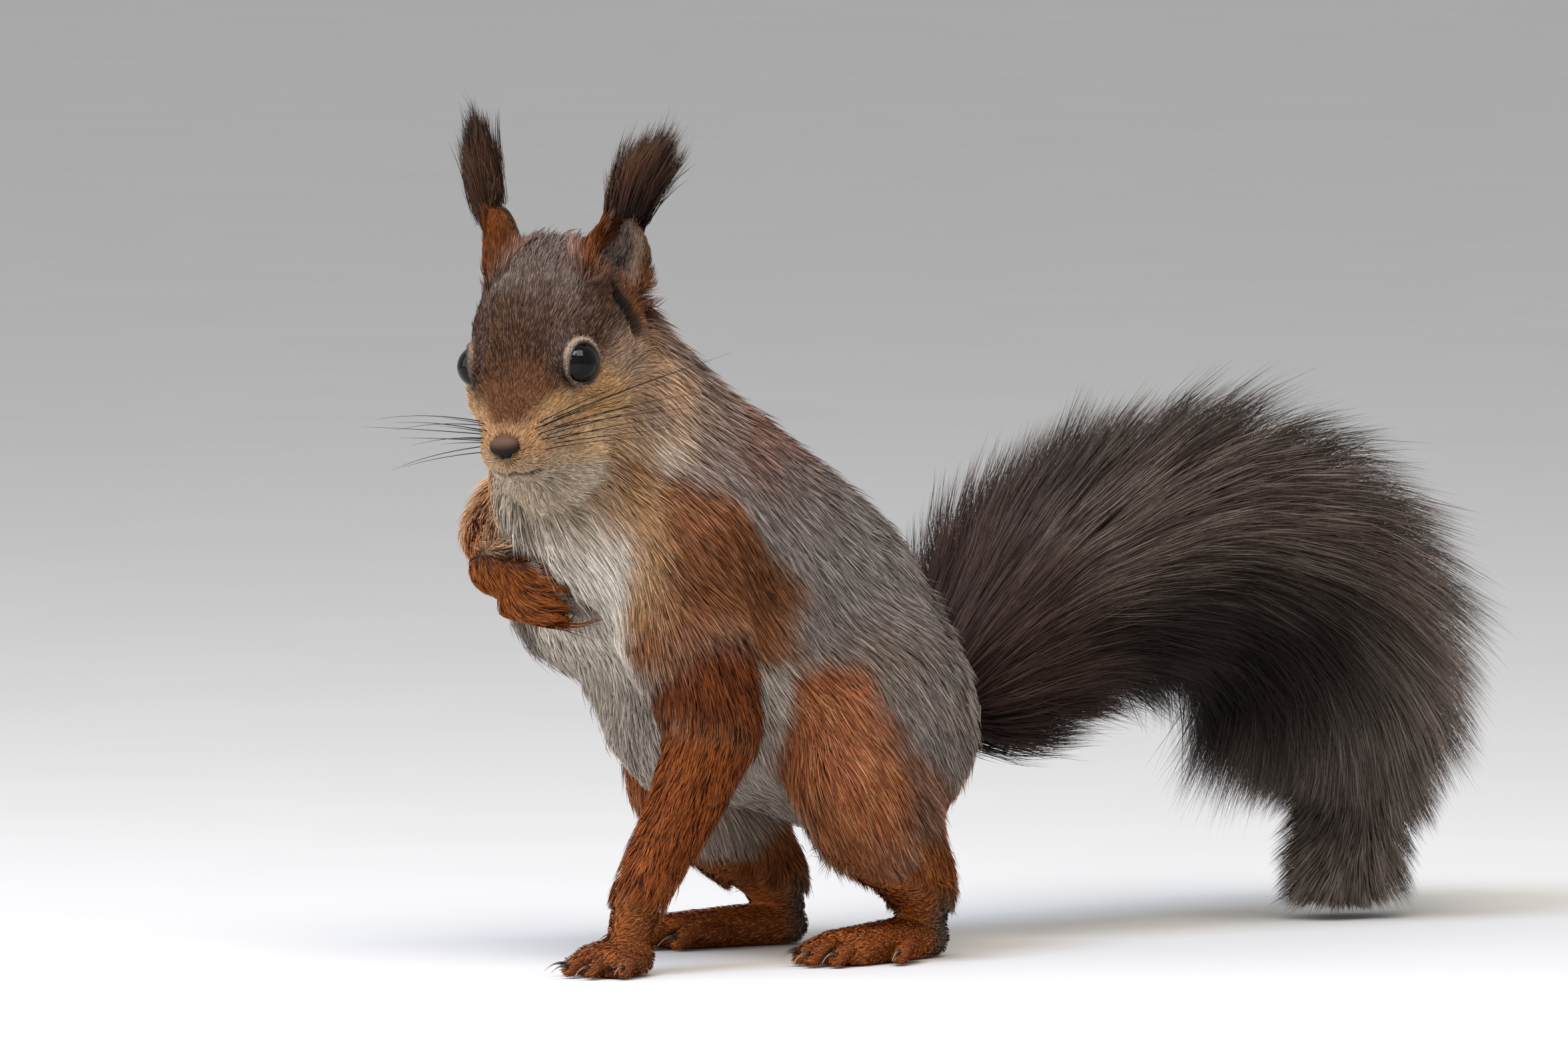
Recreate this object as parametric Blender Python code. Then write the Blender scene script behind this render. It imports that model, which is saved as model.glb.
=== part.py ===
"""Red squirrel, a still life-size model: sitting up on both hind feet, the left
forepaw set down in front, the right one held at the breast, the tail arched behind.

Sizes are in millimetres until a mesh is made. The animal faces -Y, its left side
is +X and +Z is up. Each clay is a heap of rounded forms that reach out to the tips
of the coat. It is melted into one skin, smoothed, and parted with thin cuts.
"""
import math

import bmesh
import bpy
import numpy as np
from mathutils import Matrix, Vector

MM = 0.001                 # metres in a millimetre
GAP = 0.3                  # air between two nodes that touch in life

# Head: places are (forward, left, up) of the point midway between the eyeballs.
HEAD_PLACE = (11.0, -109.5, 138.6)
HEAD_YAW = 29.0            # degrees to its left
HEAD_PITCH = 30.0          # degrees nose down
HEAD_ROLL = 4.0            # degrees left side up
EYE_SPREAD = 12.1          # midline to an eyeball's centre
EYE_RADIUS = 5.0
NOSE_CENTRE = (22.0, 0.0, -9.6)
NOSE_RADII = (3.4, 4.0, 3.4)
HEAD_PROFILE = (           # forward, top, bottom, half width: nose to nape
    (23.6, -8.0, -12.6, 2.6), (22.2, -5.6, -15.2, 5.0), (18.8, -2.8, -18.8, 7.4), (14, 1.4, -21.0, 9.3),
    (8, 6.2, -22.6, 12.0), (2, 10.8, -23.6, 14.6), (-5, 14.8, -24.4, 17.4), (-13, 17.4, -24.4, 18.6),
    (-21, 17.2, -22.6, 17.4), (-28, 13.5, -19, 13.5), (-33, 7, -12, 7),
)
JAW_FULLNESS = 0.6
HEAD_FORMS = (             # centre, radii, on both sides
    ((-8, 11.5, -9), (12.5, 8.5, 10.5)),     # cheeks
    ((3, 8.2, -14), (11, 5.6, 7.5)),         # lips and cheek pouches
    ((-14, 9, -15), (13, 10, 9)),            # jowls
    ((-2.2, 9.0, 0.6), (8.5, 6.8, 8.2)),     # orbits
    ((16.6, 4.6, -11.6), (6, 4.6, 5.2)),     # whisker pads
)

# Ears: marks in the head's frame, mirrored for the right one.
EARS = {
    "left": {
        "front": (-17, 13, 15), "notch": (-24.5, 19.5, -6.5), "top": (-29, 18.3, 18.5),
        "tuft": ((-31.5, 16.5, 14), (-38.5, 21.5, 25), (-46, 26, 30), (-52, 29.5, 31.5)),
    },
    "right": {
        "front": (-15, 13, 15), "notch": (-26, 18, 1), "top": (-29, 14.5, 24),
        "tuft": ((-31.5, 14.5, 20), (-33.5, 14.5, 31), (-36, 14.3, 40), (-38.5, 14, 47.5)),
    },
}
EAR_WIDTH = 14.6
EAR_CUP = 70.0             # half angle of the arc across the cup, degrees
EAR_THICKNESS = 2.4
TUFT_RADII = (5.4, 6.8, 6.4, 2.4)
TUFT_FLATNESS = 0.6        # thickness of a tuft over its width
TUFT_START = 0.82          # height on the ear where its tuft begins

# Trunk: centre, radii and the tilt that turns a form's long axis down at the back.
TRUNK_FORMS = {
    "rump": ((0, -10, 58), (31, 33, 31), 35),
    "loin": ((0, -25, 76), (32, 40, 36), 42),
    "belly": ((0, -42, 66), (31, 30, 34), 40),
    "chest": ((0, -64, 98), (29, 38, 31.5), 52),
    "shoulders": ((0, -54, 108), (30, 32, 25), 32),
    "saddle": ((0, -40, 93), (31, 34, 29.5), 10),
    "throat": ((5, -98, 117), (20, 15, 17), 0),
    "bib": ((2, -91, 101), (20, 17, 24), -25),
}
SHOULDER_BLADE = ((20, -73, 92), (16, 19, 28))     # one on each side
NECK_LINE = ((0, -70, 120, 25), (3, -83, 136, 20), (7, -94, 144, 18))
HEAD_CUT = ((10, 0, -26), (0.56, 0, 0.83))         # point and normal, as marks on the head
NECK_CUT = ((0, -45, 138), (0, -0.64, 0.77))       # point, normal towards the head

# Legs: lines of places with the radius there. The right hind leg mirrors the left one.
THIGH_FORMS = {
    "ham": ((26, -18, 53), (14, 27, 29), 20),
    "knee": ((31, -31, 44), (12, 15, 16), 0),
}
SHANK_LINE = ((30, -28, 38, 15), (29, -18, 26, 14), (27, -8, 15, 10.5), (25, -5, 10, 7.5))
KNEE_CUT = ((29, -22, 31), (0, 0.62, -0.78))
ANKLE_CUT = ((26, -1, 14), (0, -0.35, -0.94))
UPPER_ARM_LINE = ((16, -76, 96, 15), (22, -74, 80, 15), (27, -70, 64, 12.5), (27, -68, 55, 11))
FOREARM_LINE = ((27, -68, 55, 11), (25, -76, 37, 9), (23, -87, 18, 7), (22, -92, 10, 6))
ELBOW_CUT = ((27, -68, 58), (0, -0.25, -0.97))
WRIST_CUT = ((22, -88, 17), (0, -0.5, -0.85))
HELD_ARM_LINE = (
    (-16, -74, 106, 18), (-22, -84, 101, 13), (-25, -92, 96, 9), (-14, -99, 92, 7.5), (-8, -101, 88, 6),
)
HELD_ELBOW_CUT = ((-20, -90, 97), (0.75, -0.62, -0.2))
HELD_WRIST_CUT = ((-11, -101, 90), (0.8, -0.1, -0.6))
FIST = {                   # four curled fingers, given across the fist, out of it and up it
    "centre": (-1, -101, 84), "radii": (7.5, 6.2, 7), "across": (0.64, 0.77, 0), "out": (0.77, -0.64, 0),
    "fingers": 4, "top": 5.0, "pitch": 3.4, "lower": 0.5,
    "knuckle": (-6, 3.5, 2.3), "middle": (2, 5.6, 2.2), "bend": (8, 2.5, 2.0), "tip": (7, -2, 1.6),
}

# Feet: lengths along the sole from the heel or wrist, and what each toe is.
HIND_FOOT = {
    "heel": (25, -4), "turn_out": 12, "back": 5.5, "front": 5.0, "sole": 30, "spread": 3.3,
    "toes": ((-2, 23, 14), (-1, 28, 15.5), (0, 29, 16.5), (1, 28, 15), (2.7, 18, 11)),
    "toe": 2.5, "fan": 8, "claw": 5.0,
}
FORE_PAW = {
    "heel": (22, -89), "turn_out": 6, "back": 5.2, "front": 4.8, "sole": 9, "spread": 3.5,
    "toes": ((-1.6, 7, 9.5), (-0.5, 9, 11.5), (0.6, 9, 11), (1.7, 6, 9)),
    "toe": 2.2, "fan": 12, "claw": 4.0,
}

# Tail: the line through the plume, with the reach of its hair.
TAIL_LINE = (
    (0, 24, 58, 16), (0, 34, 66, 31), (0, 60, 82, 38), (0, 100, 90, 40), (0, 134, 76, 40),
    (0, 149, 51, 37), (0, 150, 27, 32), (0, 146, 6, 22),
)
TAIL_CUTS = {
    "tail_base": ((0, 62, 86), (0, 0.93, 0.37)),
    "tail_arch": ((0, 118, 86), (0, 0.9, -0.44)),
    "tail_bend": ((0, 150, 46), (0, 0.1, -0.99)),
}

FLOOR_CUT = ((0, 0, -GAP / 2), (0, 0, 1))

# Skins: voxel size and smoothing rounds of the first, soft clay; then voxel size,
# rounds and triangles of the finished skin.
SOFT = {"torso": (2.0, 70), "hind_leg": (1.3, 20), "fore_leg": (1.2, 12)}
SKINS = {
    "torso": (0.9, 14, 2200), "hind_leg": (0.75, 4, 560), "fore_leg": (0.7, 4, 590),
    "held_arm": (0.6, 3, 480), "tail": (2.2, 14, 400), "ear": (0.55, 3, 240), "tuft": (0.7, 4, 100),
}

COLOURS = {                # base colour and roughness of each finish
    "crown": ((0.24, 0.13, 0.08), 0.9),
    "back": ((0.22, 0.19, 0.17), 0.9),
    "rufous": ((0.50, 0.17, 0.05), 0.9),
    "tuft": ((0.08, 0.04, 0.03), 0.9),
    "plume": ((0.09, 0.07, 0.07), 0.9),
    "eye": ((0.006, 0.006, 0.008), 0.05),
    "nose": ((0.07, 0.035, 0.03), 0.6),
}


# ---- places

def turn_x(degrees):
    return Matrix.Rotation(math.radians(degrees), 3, "X")


HEAD_TURN = (
    Matrix.Rotation(math.radians(HEAD_YAW), 3, "Z")
    @ turn_x(HEAD_PITCH)
    @ Matrix.Rotation(math.radians(HEAD_ROLL), 3, (0, -1, 0))
)


def in_head(place):
    """World place of a (forward, left, up) mark on the head."""
    forward, left, up = place
    return Vector(HEAD_PLACE) + HEAD_TURN @ Vector((left, -forward, up))


def smooth_line(stations, steps):
    """Stations joined by a Catmull-Rom curve; each value, the radius too, is eased."""
    points = np.array(stations, float)
    padded = np.vstack([2 * points[0] - points[1], points, 2 * points[-1] - points[-2]])
    line = []
    for i in range(len(points) - 1):
        a, b, c, d = padded[i:i + 4]
        for step in range(steps):
            t = step / steps
            line.append(0.5 * (2 * b + (c - a) * t + (2 * a - 5 * b + 4 * c - d) * t * t
                               + (3 * b - a - 3 * c + d) * t ** 3))
    return line + [points[-1]]


# ---- clay

def ball(clay, centre, radii, turn=None, subdivisions=3):
    radii = radii if isinstance(radii, tuple) else (radii,) * 3
    matrix = Matrix.Translation(centre) @ (turn or Matrix.Identity(3)).to_4x4() @ Matrix.Diagonal((*radii, 1))
    bmesh.ops.create_icosphere(clay, subdivisions=subdivisions, radius=1, matrix=matrix)


def limb(clay, stations, steps=4, place=Vector):
    """A rounded rope through (x, y, z, radius) stations."""
    line = smooth_line(stations, steps)
    for start, end in zip(line, line[1:]):
        a, b = place(start[:3]), place(end[:3])
        along = b - a
        matrix = Matrix.Translation((a + b) / 2) @ along.to_track_quat("Z", "Y").to_matrix().to_4x4()
        bmesh.ops.create_cone(clay, cap_ends=True, segments=20, radius1=start[3], radius2=end[3],
                              depth=along.length, matrix=matrix)
    for station in line:
        ball(clay, place(station[:3]), float(station[3]))


def loft(clay, profile, place, fullness):
    """A closed shell through upright slices (forward, top, bottom, half width), each an
    oval above and, with a fullness under 1, squarer below."""
    rings, sides = [], 24
    for forward, top, bottom, reach in smooth_line(profile, 3):
        ring = []
        for k in range(sides):
            angle = 2 * math.pi * k / sides
            up = (top + bottom) / 2 + (top - bottom) / 2 * math.sin(angle)
            side = math.cos(angle)
            if up < (top + bottom) / 2:
                side = math.copysign(abs(side) ** fullness, side)
            ring.append(clay.verts.new(place((forward, reach * side, up))))
        rings.append(ring)
    for front, rear in zip(rings, rings[1:]):
        for k in range(sides):
            j = (k + 1) % sides
            clay.faces.new((front[k], rear[k], rear[j], front[j]))
    clay.faces.new(rings[0])
    clay.faces.new(rings[-1][::-1])


def claw(clay, root, tip, radius):
    """A hooked claw: a cone from a toe's end that droops to its point."""
    middle = (root + tip) / 2 + Vector((0, 0, radius * 0.8))
    stations = [(*root, radius), (*middle, radius * 0.75), (*tip, radius * 0.35)]
    limb(clay, stations, steps=2)


def foot(clay, form, side=1):
    """A flat foot from its heel to its fanned toes, each with its claw."""
    turn = Matrix.Rotation(math.radians(form["turn_out"]), 3, "Z")
    heel = Vector((*form["heel"], 0))

    def place(along, across, up):
        spot = heel + turn @ Vector((across, -along, up))
        return Vector((spot.x * side, spot.y, spot.z))

    back, front, sole, toe = form["back"], form["front"], form["sole"], form["toe"]
    ball(clay, place(0, 0, back * 0.75), back)
    for across in (-0.8, 0, 0.8):
        shift = across * form["spread"]
        limb(clay, [(0, shift * 0.4, back * 0.8, back), (sole, shift * 1.4, front * 0.7, front * 0.85)],
             place=lambda p: place(*p))
    for across, start, length in form["toes"]:
        fan = math.radians(across * form["fan"])
        root = Vector((start - 4, across * form["spread"] * 0.9, front * 0.7))
        knuckle = root + Vector((math.cos(fan), math.sin(fan), 0.08)) * (length * 0.55)
        end = root + Vector((math.cos(fan), math.sin(fan), 0)) * length
        end.z = toe * 0.75
        limb(clay, [(*root, toe * 1.1), (*knuckle, toe), (*end, toe * 0.85)], place=lambda p: place(*p))
        tip = end + Vector((math.cos(fan), math.sin(fan), 0)) * form["claw"]
        tip.z = 0.9
        claw(clay, place(*end), place(*tip), 0.95)


# ---- meshes

def to_mesh(clay):
    mesh = bpy.data.meshes.new("form")
    clay.to_mesh(mesh)
    clay.free()
    return mesh


def evaluated(mesh, modifiers):
    """The mesh after modifiers, each a (kind, settings) pair."""
    guide = bpy.data.objects.new("guide", mesh)
    bpy.context.scene.collection.objects.link(guide)
    for kind, settings in modifiers:
        modifier = guide.modifiers.new(kind.lower(), kind)
        for key, value in settings.items():
            setattr(modifier, key, value)
    result = bpy.data.meshes.new_from_object(guide.evaluated_get(bpy.context.evaluated_depsgraph_get()))
    bpy.data.objects.remove(guide)
    return result


def melted(clay, voxel, rounds, triangles):
    """One smooth skin round all the forms of a clay, with about this many triangles."""
    skin = evaluated(to_mesh(clay), [
        ("REMESH", {"mode": "VOXEL", "voxel_size": voxel}),
        ("SMOOTH", {"factor": 0.5, "iterations": rounds}),
        ("TRIANGULATE", {}),
    ])
    ratio = min(1.0, triangles / len(skin.polygons))
    return evaluated(skin, [("DECIMATE", {"ratio": ratio})])


def softened(clay, voxel, rounds):
    """The clay melted and smoothed, ready to take finer forms."""
    soft = bmesh.new()
    soft.from_mesh(evaluated(to_mesh(clay), [
        ("REMESH", {"mode": "VOXEL", "voxel_size": voxel}),
        ("SMOOTH", {"factor": 0.5, "iterations": rounds}),
    ]))
    return soft


def whole(mesh):
    """The mesh with loose crumbs left by a cut deleted, so that one body stays."""
    body = bmesh.new()
    body.from_mesh(mesh)
    bmesh.ops.remove_doubles(body, verts=body.verts, dist=1e-4)
    bmesh.ops.dissolve_degenerate(body, dist=1e-4, edges=body.edges)
    bmesh.ops.triangulate(body, faces=body.faces)
    unseen, islands = set(body.verts), []
    while unseen:
        front = [unseen.pop()]
        island = set(front)
        while front:
            for edge in front.pop().link_edges:
                for vert in edge.verts:
                    if vert in unseen:
                        unseen.discard(vert)
                        island.add(vert)
                        front.append(vert)
        islands.append(island)
    islands.sort(key=len)
    for island in islands[:-1]:
        bmesh.ops.delete(body, geom=list(island), context="VERTS")
    return to_mesh(body)


def half(mesh, cut, side):
    """What lies on one side (1 or -1) of a cut, half a gap clear of it, capped flat."""
    point, normal = Vector(cut[0]), Vector(cut[1]).normalized() * side
    body = bmesh.new()
    body.from_mesh(mesh)
    geometry = body.verts[:] + body.edges[:] + body.faces[:]
    edge = bmesh.ops.bisect_plane(body, geom=geometry, dist=1e-5, plane_co=point + normal * GAP / 2,
                                  plane_no=normal, clear_inner=True)
    rim = [item for item in edge["geom_cut"] if isinstance(item, bmesh.types.BMEdge)]
    bmesh.ops.holes_fill(body, edges=rim)
    return whole(to_mesh(body))


def parted(mesh, cuts):
    """The mesh split at each (name, cut) in turn; the last piece is named None."""
    pieces = {}
    for name, cut in cuts:
        pieces[name] = half(mesh, cut, -1)
        mesh = half(mesh, cut, 1)
    pieces[None] = mesh
    return pieces


def grown(mesh, reach=GAP):
    body = bmesh.new()
    body.from_mesh(mesh)
    body.normal_update()
    shifts = [vert.normal * reach for vert in body.verts]
    for vert, shift in zip(body.verts, shifts):
        vert.co += shift
    return to_mesh(body)


def without(mesh, *neighbours):
    """The mesh with room cut in it for its neighbours and the gap round them."""
    for neighbour in neighbours:
        cutter = bpy.data.objects.new("cutter", grown(neighbour))
        bpy.context.scene.collection.objects.link(cutter)
        cut = {"operation": "DIFFERENCE", "solver": "EXACT", "object": cutter}
        mesh = evaluated(mesh, [("BOOLEAN", cut)])
        bpy.data.objects.remove(cutter)
    return whole(mesh)


# ---- the animal's forms

def torso():
    clay = bmesh.new()
    limb(clay, NECK_LINE)
    for centre, radii, tilt in TRUNK_FORMS.values():
        ball(clay, centre, radii, turn_x(-tilt))
    centre, radii = SHOULDER_BLADE
    for side in (1, -1):
        ball(clay, (centre[0] * side, *centre[1:]), radii)
    clay = softened(clay, *SOFT["torso"])
    loft(clay, HEAD_PROFILE, in_head, JAW_FULLNESS)
    for centre, radii in HEAD_FORMS:
        for side in (1, -1):
            ball(clay, in_head((centre[0], centre[1] * side, centre[2])),
                 (radii[1], radii[0], radii[2]), HEAD_TURN)
    return melted(clay, *SKINS["torso"])


def hind_leg():
    clay = bmesh.new()
    for centre, radii, tilt in THIGH_FORMS.values():
        ball(clay, centre, radii, turn_x(-tilt))
    limb(clay, SHANK_LINE)
    clay = softened(clay, *SOFT["hind_leg"])
    foot(clay, HIND_FOOT)
    return melted(clay, *SKINS["hind_leg"])


def fore_leg():
    clay = bmesh.new()
    limb(clay, UPPER_ARM_LINE)
    limb(clay, FOREARM_LINE)
    clay = softened(clay, *SOFT["fore_leg"])
    foot(clay, FORE_PAW)
    return melted(clay, *SKINS["fore_leg"])


def held_arm():
    clay = bmesh.new()
    limb(clay, HELD_ARM_LINE)
    centre, across, out = (Vector(FIST[key]) for key in ("centre", "across", "out"))
    ball(clay, centre, FIST["radii"])
    for finger in range(FIST["fingers"]):
        height = FIST["top"] - FIST["pitch"] * finger
        lifts = {"knuckle": height * 0.8, "middle": height, "bend": height - FIST["lower"],
                 "tip": height - FIST["lower"]}
        stations = []
        for joint, lift in lifts.items():
            sideways, forward, radius = FIST[joint]
            spot = centre + across * sideways + out * forward + Vector((0, 0, lift))
            stations.append((*spot, radius))
        limb(clay, stations)
    return melted(clay, *SKINS["held_arm"])


def tail():
    clay = bmesh.new()
    limb(clay, TAIL_LINE, steps=6)
    return melted(clay, *SKINS["tail"])


def ear_axes(marks):
    """An ear's base, the way it rises, the way it widens and its height."""
    front, notch, top = (Vector(marks[key]) for key in ("front", "notch", "top"))
    base = (front + notch) / 2
    rise = (top - base).normalized()
    width = (notch - front) - rise * (notch - front).dot(rise)
    return base, rise, width.normalized(), (top - base).length


def pinna(clay, marks, side):
    """The cup of an ear: arcs across it, widest low down, drawn in towards the top."""
    base, rise, width, height = ear_axes(marks)
    facing = width.cross(rise)
    arc, rows, columns = math.radians(EAR_CUP), 14, 12
    rings = []
    for row in range(rows + 1):
        s = -0.3 + 1.4 * row / rows
        reach = EAR_WIDTH / 2 * math.sqrt(max(0.0, 1 - ((s - 0.4) / 0.72) ** 2)) + 0.6
        ring = []
        for offset, order in ((0.0, 1), (EAR_THICKNESS, -1)):
            for column in range(columns + 1):
                angle = arc * (2 * column / columns - 1) * order
                bend = reach / math.sin(arc)
                out = bend + offset
                spot = base + rise * (s * height)
                spot += width * (math.sin(angle) * out)
                spot -= facing * (math.cos(angle) * out - math.cos(arc) * bend)
                ring.append(clay.verts.new(in_head((spot.x, spot.y * side, spot.z))))
        rings.append(ring)
    for lower, upper in zip(rings, rings[1:]):
        for i in range(len(lower)):
            j = (i + 1) % len(lower)
            clay.faces.new((lower[i], lower[j], upper[j], upper[i]))
    clay.faces.new(rings[0])
    clay.faces.new(rings[-1][::-1])
    bmesh.ops.recalc_face_normals(clay, faces=clay.faces)


def ear(marks, side):
    clay = bmesh.new()
    pinna(clay, marks, side)
    return melted(clay, *SKINS["ear"])


def tuft(marks, side):
    """The flat brush of hair that stands on an ear and ends in its own tip."""
    base, rise, width, height = ear_axes(marks)
    root, tip = Vector(marks["tuft"][0]), Vector(marks["tuft"][-1])
    thin = (tip - root).cross(width).normalized()
    clay = bmesh.new()
    limb(clay, [(*spot, radius) for spot, radius in zip(marks["tuft"], TUFT_RADII)])
    for vert in clay.verts:
        vert.co -= thin * ((vert.co - root).dot(thin) * (1 - TUFT_FLATNESS))
        vert.co = in_head((vert.co.x, vert.co.y * side, vert.co.z))
    bmesh.ops.recalc_face_normals(clay, faces=clay.faces)
    foot_of_tuft = base + rise * (height * TUFT_START)
    seat = in_head((foot_of_tuft.x, foot_of_tuft.y * side, foot_of_tuft.z))
    upwards = in_head((rise.x, rise.y * side, rise.z)) - Vector(HEAD_PLACE)
    return half(melted(clay, *SKINS["tuft"]), (seat, upwards), 1)


def eyeball(side):
    clay = bmesh.new()
    ball(clay, in_head((0, EYE_SPREAD * side, 0)), EYE_RADIUS, subdivisions=2)
    return to_mesh(clay)


def nose():
    clay = bmesh.new()
    forward, across, up = NOSE_RADII
    ball(clay, in_head(NOSE_CENTRE), (across, forward, up), HEAD_TURN, subdivisions=2)
    return to_mesh(clay)


def mirrored(mesh):
    body = bmesh.new()
    body.from_mesh(mesh)
    for vert in body.verts:
        vert.co.x *= -1
    bmesh.ops.reverse_faces(body, faces=body.faces)
    return to_mesh(body)


def build():
    for item in list(bpy.data.objects):
        bpy.data.objects.remove(item)
    nodes = {}
    body = torso()
    eyes = {"eye_left": eyeball(1), "eye_right": eyeball(-1), "nose": nose()}
    point, normal = HEAD_CUT
    head_cut = (in_head(point), in_head(normal) - Vector(HEAD_PLACE))
    head = half(body, head_cut, 1)
    rest = half(body, head_cut, -1)
    nodes["head"] = without(head, *eyes.values()), "crown"
    nodes["neck"] = half(rest, NECK_CUT, 1), "back"
    nodes["trunk"] = half(rest, NECK_CUT, -1), "back"
    for name, mesh in eyes.items():
        nodes[name] = mesh, "nose" if name == "nose" else "eye"
    for name, side in (("left", 1), ("right", -1)):
        flap = without(ear(EARS[name], side), body)
        nodes["ear_" + name] = flap, "rufous"
        nodes["ear_tuft_" + name] = without(tuft(EARS[name], side), body, flap), "tuft"

    leg = half(hind_leg(), FLOOR_CUT, 1)
    legs = {"left": leg, "right": mirrored(leg)}
    thighs = []
    for name, mesh in legs.items():
        side = 1 if name == "left" else -1
        cuts = [(part, ((cut[0][0] * side, *cut[0][1:]), cut[1]))
                for part, cut in (("thigh", KNEE_CUT), ("shank", ANKLE_CUT))]
        pieces = parted(without(mesh, body), cuts)
        nodes["thigh_" + name] = pieces["thigh"], "rufous"
        nodes["shank_" + name] = pieces["shank"], "rufous"
        nodes["hind_foot_" + name] = pieces[None], "rufous"
        thighs.append(mesh)

    arm = without(half(fore_leg(), FLOOR_CUT, 1), body, thighs[0])
    pieces = parted(arm, [("upper_arm", ELBOW_CUT), ("forearm", WRIST_CUT)])
    nodes["upper_arm_left"] = pieces["upper_arm"], "rufous"
    nodes["forearm_left"] = pieces["forearm"], "rufous"
    nodes["forepaw_left"] = pieces[None], "rufous"
    arm = without(held_arm(), body)
    pieces = parted(arm, [("upper_arm", HELD_ELBOW_CUT), ("forearm", HELD_WRIST_CUT)])
    nodes["upper_arm_right"] = pieces["upper_arm"], "rufous"
    nodes["forearm_right"] = pieces["forearm"], "rufous"
    nodes["forepaw_right"] = pieces[None], "rufous"

    plume = without(half(tail(), FLOOR_CUT, 1), body, *thighs)
    pieces = parted(plume, list(TAIL_CUTS.items()))
    for name, mesh in pieces.items():
        nodes[name or "tail_tip"] = mesh, "plume"

    floor_centre = middle_of([mesh for mesh, finish in nodes.values()], lowest=True)
    for name, (mesh, finish) in nodes.items():
        mesh.transform(Matrix.Translation(-floor_centre))
        node(name, mesh, finish)


def middle_of(meshes, lowest=False):
    """The middle of the box round some meshes, or of that box's lowest face."""
    corners = np.array([vert.co for mesh in meshes for vert in mesh.vertices])
    low, high = corners.min(axis=0), corners.max(axis=0)
    middle = (low + high) / 2
    if lowest:
        middle[2] = low[2]
    return Vector(middle)


def node(name, mesh, finish):
    """One named object in metres, with its origin in its own middle and its own material."""
    colour, roughness = COLOURS[finish]
    material = bpy.data.materials.new(name + "_coat")
    material.use_nodes = True
    shader = material.node_tree.nodes["Principled BSDF"]
    shader.inputs["Base Color"].default_value = (*colour, 1)
    shader.inputs["Roughness"].default_value = roughness
    shader.inputs["Metallic"].default_value = 0
    mesh.transform(Matrix.Scale(MM, 4))
    middle = middle_of([mesh])
    mesh.transform(Matrix.Translation(-middle))
    mesh.materials.clear()
    mesh.materials.append(material)
    mesh.shade_smooth()
    mesh.name = name
    piece = bpy.data.objects.new(name, mesh)
    piece.location = middle
    bpy.context.scene.collection.objects.link(piece)


build()
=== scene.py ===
import math

import bmesh
import bpy
import numpy as np
from mathutils import Matrix, Vector
from mathutils.kdtree import KDTree


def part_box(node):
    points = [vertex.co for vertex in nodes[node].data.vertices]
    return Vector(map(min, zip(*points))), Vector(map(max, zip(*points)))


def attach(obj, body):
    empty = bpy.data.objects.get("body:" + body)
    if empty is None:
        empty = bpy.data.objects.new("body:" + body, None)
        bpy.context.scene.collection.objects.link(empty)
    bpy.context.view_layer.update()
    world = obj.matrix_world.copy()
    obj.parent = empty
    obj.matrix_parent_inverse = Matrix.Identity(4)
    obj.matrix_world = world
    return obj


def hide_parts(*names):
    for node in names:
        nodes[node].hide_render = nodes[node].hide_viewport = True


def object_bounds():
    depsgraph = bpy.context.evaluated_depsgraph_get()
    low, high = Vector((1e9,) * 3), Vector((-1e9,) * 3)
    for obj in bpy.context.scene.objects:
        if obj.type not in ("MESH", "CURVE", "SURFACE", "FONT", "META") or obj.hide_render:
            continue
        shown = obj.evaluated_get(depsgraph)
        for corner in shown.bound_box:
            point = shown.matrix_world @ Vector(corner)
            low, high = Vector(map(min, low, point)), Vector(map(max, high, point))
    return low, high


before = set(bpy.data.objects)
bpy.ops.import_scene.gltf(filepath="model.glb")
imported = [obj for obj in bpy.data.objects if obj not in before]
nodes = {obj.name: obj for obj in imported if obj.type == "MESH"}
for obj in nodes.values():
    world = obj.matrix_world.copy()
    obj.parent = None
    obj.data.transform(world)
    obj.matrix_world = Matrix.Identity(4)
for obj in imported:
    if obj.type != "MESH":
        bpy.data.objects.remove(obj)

# A red squirrel: one skin over all its flesh, and a coat of fine tapered hairs on it.
# Lengths are in millimetres until a mesh is made. It faces -Y, its left side is +X.

mm = 0.001
cadBox = [list(corner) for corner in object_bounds()]
hairShare = 1.0


# small tools

def unit(vectors):
    vectors = np.asarray(vectors, float)
    return vectors / np.maximum(np.linalg.norm(vectors, axis=-1, keepdims=True), 1e-9)


def dots(a, b):
    return (a * b).sum(axis=-1)


def ease(start, end, value):
    # 0 at start, 1 at end, with soft ends; start may be the higher one
    t = np.clip((value - start) / (end - start), 0, 1)
    return t * t * (3 - 2 * t)


def linear(hexColour):
    # sRGB hex to linear light
    channels = np.array([int(hexColour[i:i + 2], 16) for i in (0, 2, 4)]) / 255
    return np.where(channels <= 0.04045, channels / 12.92, ((channels + 0.055) / 1.055) ** 2.4)


def waves(points, length, seed):
    # smooth noise about -1 to 1, with swells of this length
    rng = np.random.default_rng(seed)
    turns = unit(rng.normal(size=(7, 3))) * (2 * math.pi / length) * rng.uniform(0.6, 1.5, (7, 1))
    return np.sin(points @ turns.T + rng.uniform(0, 2 * math.pi, 7)).mean(axis=1) * 2


def corners(node):
    low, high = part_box(node)
    return np.array(low) / mm, np.array(high) / mm


def spot(node, x, y, z):
    # a place given as fractions of a node's box
    low, high = corners(node)
    return low + (high - low) * (x, y, z)


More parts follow.
